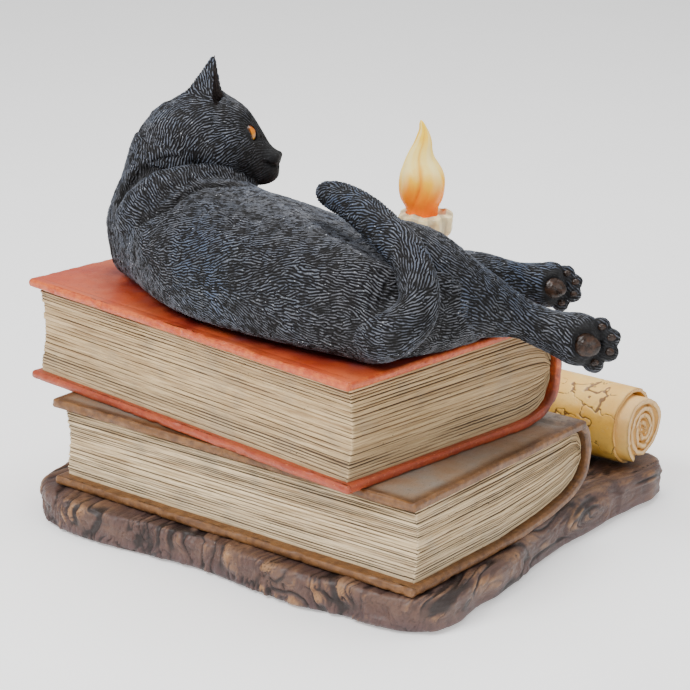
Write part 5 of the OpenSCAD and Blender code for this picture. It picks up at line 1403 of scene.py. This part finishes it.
def mat_pad():
    m = Mat("painted_pad_skin")
    dm = m.attr("dome")
    n = m.noise(0.55, 4, 0.6); f = m.noise(2.2, 4, 0.7)
    c = m.ramp(n, [(0.3, (0.008, 0.0055, 0.0045)), (0.5, (0.026, 0.014, 0.009)), (0.68, (0.050, 0.022, 0.011))])
    c = m.mix(m.rng(dm, 0.55, -0.1), c, (0.0025, 0.0024, 0.0026))
    c = m.mix(m.rng(f, 0.58, 0.74, 0, 0.4), c, (0.085, 0.058, 0.040))
    nb = m.bump(m.math("ADD", f, m.math("MULTIPLY", m.voro(1.1), 0.4)), 0.35, 0.15)
    return m.done(c, m.rng(n, 0.3, 0.7, 0.22, 0.38), nb, Specular_IOR_Level=0.28, Coat_Weight=0.12, Coat_Roughness=0.15)
PAD = mat_pad()
piece(make_pads("paw_pads_right_soft", PAW_R, 1.0, 7.4), PAD, ["paw_pads_right"])
piece(make_pads("paw_pads_left_soft", PAW_L, 0.85, 6.7), PAD, ["paw_pads_left"])

# ================================================================== feet
def make_feet():
    Ps, Qs, Ts, b = [], [], [], 0
    prof = [(0.0, 0.0), (7.2, 0.0), (7.8, 0.35), (8.0, 1.0), (7.85, 1.7), (7.4, 2.05), (4.0, 2.1), (0.2, 2.1)]
    pr = resample(catmull(np.array(prof), 4), 30, closed=False)
    for i, (x, y) in enumerate(((-64, -58), (62, -58), (62, 60), (-64, 60))):
        nu = 120; T, I = np.meshgrid(np.linspace(0, 2 * np.pi, nu, endpoint=False), np.arange(len(pr)), indexing="ij")
        r = np.maximum(pr[I, 0], 0.05); z = np.maximum(pr[I, 1], 0)
        V = np.stack([x + r * np.cos(T), y + r * np.sin(T), z], -1).reshape(-1, 3)
        j = 0.10 * vnoise(V / 0.7, 600 + i) * (V[:, 2] > 0.2)
        V[:, :2] += unit(V[:, :2] - [x, y]) * j[:, None]
        V[:, 2] = np.clip(V[:, 2], 0, 2.1)
        Ps.append(V); Qs.append(grid_faces(nu, len(pr), wrap_u=True) + b)
        Ps.append([[x, y, 0.0], [x, y, 2.1]]); M_ = len(pr); n_ = len(V)
        Ts.append(np.vstack([fan(np.arange(nu) * M_, n_, True), fan(np.arange(nu) * M_ + M_ - 1, n_ + 1)]) + b); b += n_ + 2
    return add_mesh("felt_pads", np.vstack(Ps), np.vstack(Qs), np.vstack(Ts))
def mat_felt():
    m = Mat("pressed_felt")
    n = m.noise(1.2, 5, 0.7); f = m.noise(5.0, 4, 0.75)
    c = m.ramp(n, [(0.3, (0.012, 0.012, 0.014)), (0.7, (0.040, 0.040, 0.044))])
    return m.done(c, m.rng(f, 0.3, 0.7, 0.85, 0.97), m.bump(m.math("ADD", n, f), 0.7, 0.25), Sheen_Weight=0.3, Sheen_Roughness=0.5)
piece(make_feet(), mat_felt(), ["felt_feet"])

# ================================================================== painted shade of the cat on the upper boards: darker the nearer the cat
me = up_cover.data
co = np.zeros(len(me.vertices) * 3, np.float32); me.vertices.foreach_get("co", co)
co = co.reshape(-1, 3).astype(float) * 1000 - OFF
dist = np.minimum(body_field(co), np.minimum(hind_r_field(co), np.minimum(FR(co), FL(co))))
painted_cat_shade = np.exp(-np.maximum(dist, 0) / 5.5) * (co[:, 2] > UP_Z + UP_H - 14)
painted_cat_shade = np.clip(painted_cat_shade * (1.1 + 0.5 * fbm(co / 9, 2, 700)), 0, 1)
at = me.attributes.new("painted_cat_shade", "FLOAT", "POINT"); at.data.foreach_set("value", painted_cat_shade.astype(np.float32))
piece(up_cover, mat_cover_red(), ["upper_book_cover"])

# ================================================================== stage, light, camera
def stage():
    me = bpy.data.meshes.new("floor"); s = 3.0
    me.from_pydata([(-s, -s, 0), (s, -s, 0), (s, s, 0), (-s, s, 0)], [], [(0, 1, 2, 3)])
    o = bpy.data.objects.new("floor", me); bpy.context.scene.collection.objects.link(o)
    m = Mat("floor_paper"); f = m.noise(0.02, 2)
    o.data.materials.append(m.done(m.ramp(f, [(0, (0.88, 0.88, 0.88)), (1, (0.92, 0.92, 0.92))]), 0.9, Emission_Color=(1.0, 1.0, 1.0), Emission_Strength=0.45))
stage()
w = bpy.data.worlds.new("studio"); bpy.context.scene.world = w; w.use_nodes = True
w.node_tree.nodes["Background"].inputs[0].default_value = (1, 1, 1, 1); w.node_tree.nodes["Background"].inputs[1].default_value = 0.62
def area(name, loc, target, size, power, color=(1, 1, 1)):
    l = bpy.data.lights.new(name, "AREA"); l.shape = "RECTANGLE"; l.size, l.size_y = size; l.energy = power; l.color = color
    o = bpy.data.objects.new(name, l); bpy.context.scene.collection.objects.link(o)
    d = Vector(target) - Vector(loc); o.location = loc; o.rotation_euler = d.to_track_quat("-Z", "Y").to_euler()
area("key", (-0.15, -0.75, 0.85), (0, 0, 0.08), (0.55, 0.45), 13)
area("fill", (0.85, -0.35, 0.45), (0, 0, 0.08), (0.6, 0.5), 2.2)
area("top", (0.0, 0.25, 0.95), (0, 0, 0.08), (0.7, 0.6), 7.5)

cam = bpy.data.cameras.new("camera"); cam.lens = 123.31; cam.sensor_width = 36.0; cam.sensor_fit = "AUTO"; cam.clip_start = 0.05; cam.clip_end = 20
co_ = bpy.data.objects.new("camera", cam); bpy.context.scene.collection.objects.link(co_)
az, el, ro = math.radians(38.2025), math.radians(18.2086), math.radians(0.1995)
back = np.array([math.sin(az) * math.cos(el), -math.cos(az) * math.cos(el), math.sin(el)])
right = np.array([math.cos(az), math.sin(az), 0.0]); upv = np.array([-math.sin(el) * math.sin(az), math.sin(el) * math.cos(az), math.cos(el)])
xr_ = right * math.cos(ro) + upv * math.sin(ro); yu_ = -right * math.sin(ro) + upv * math.cos(ro)
M = Matrix(((xr_[0], yu_[0], back[0], 0.4902), (xr_[1], yu_[1], back[1], -0.63425), (xr_[2], yu_[2], back[2], 0.3263), (0, 0, 0, 1)))
co_.matrix_world = M
bpy.context.scene.camera = co_
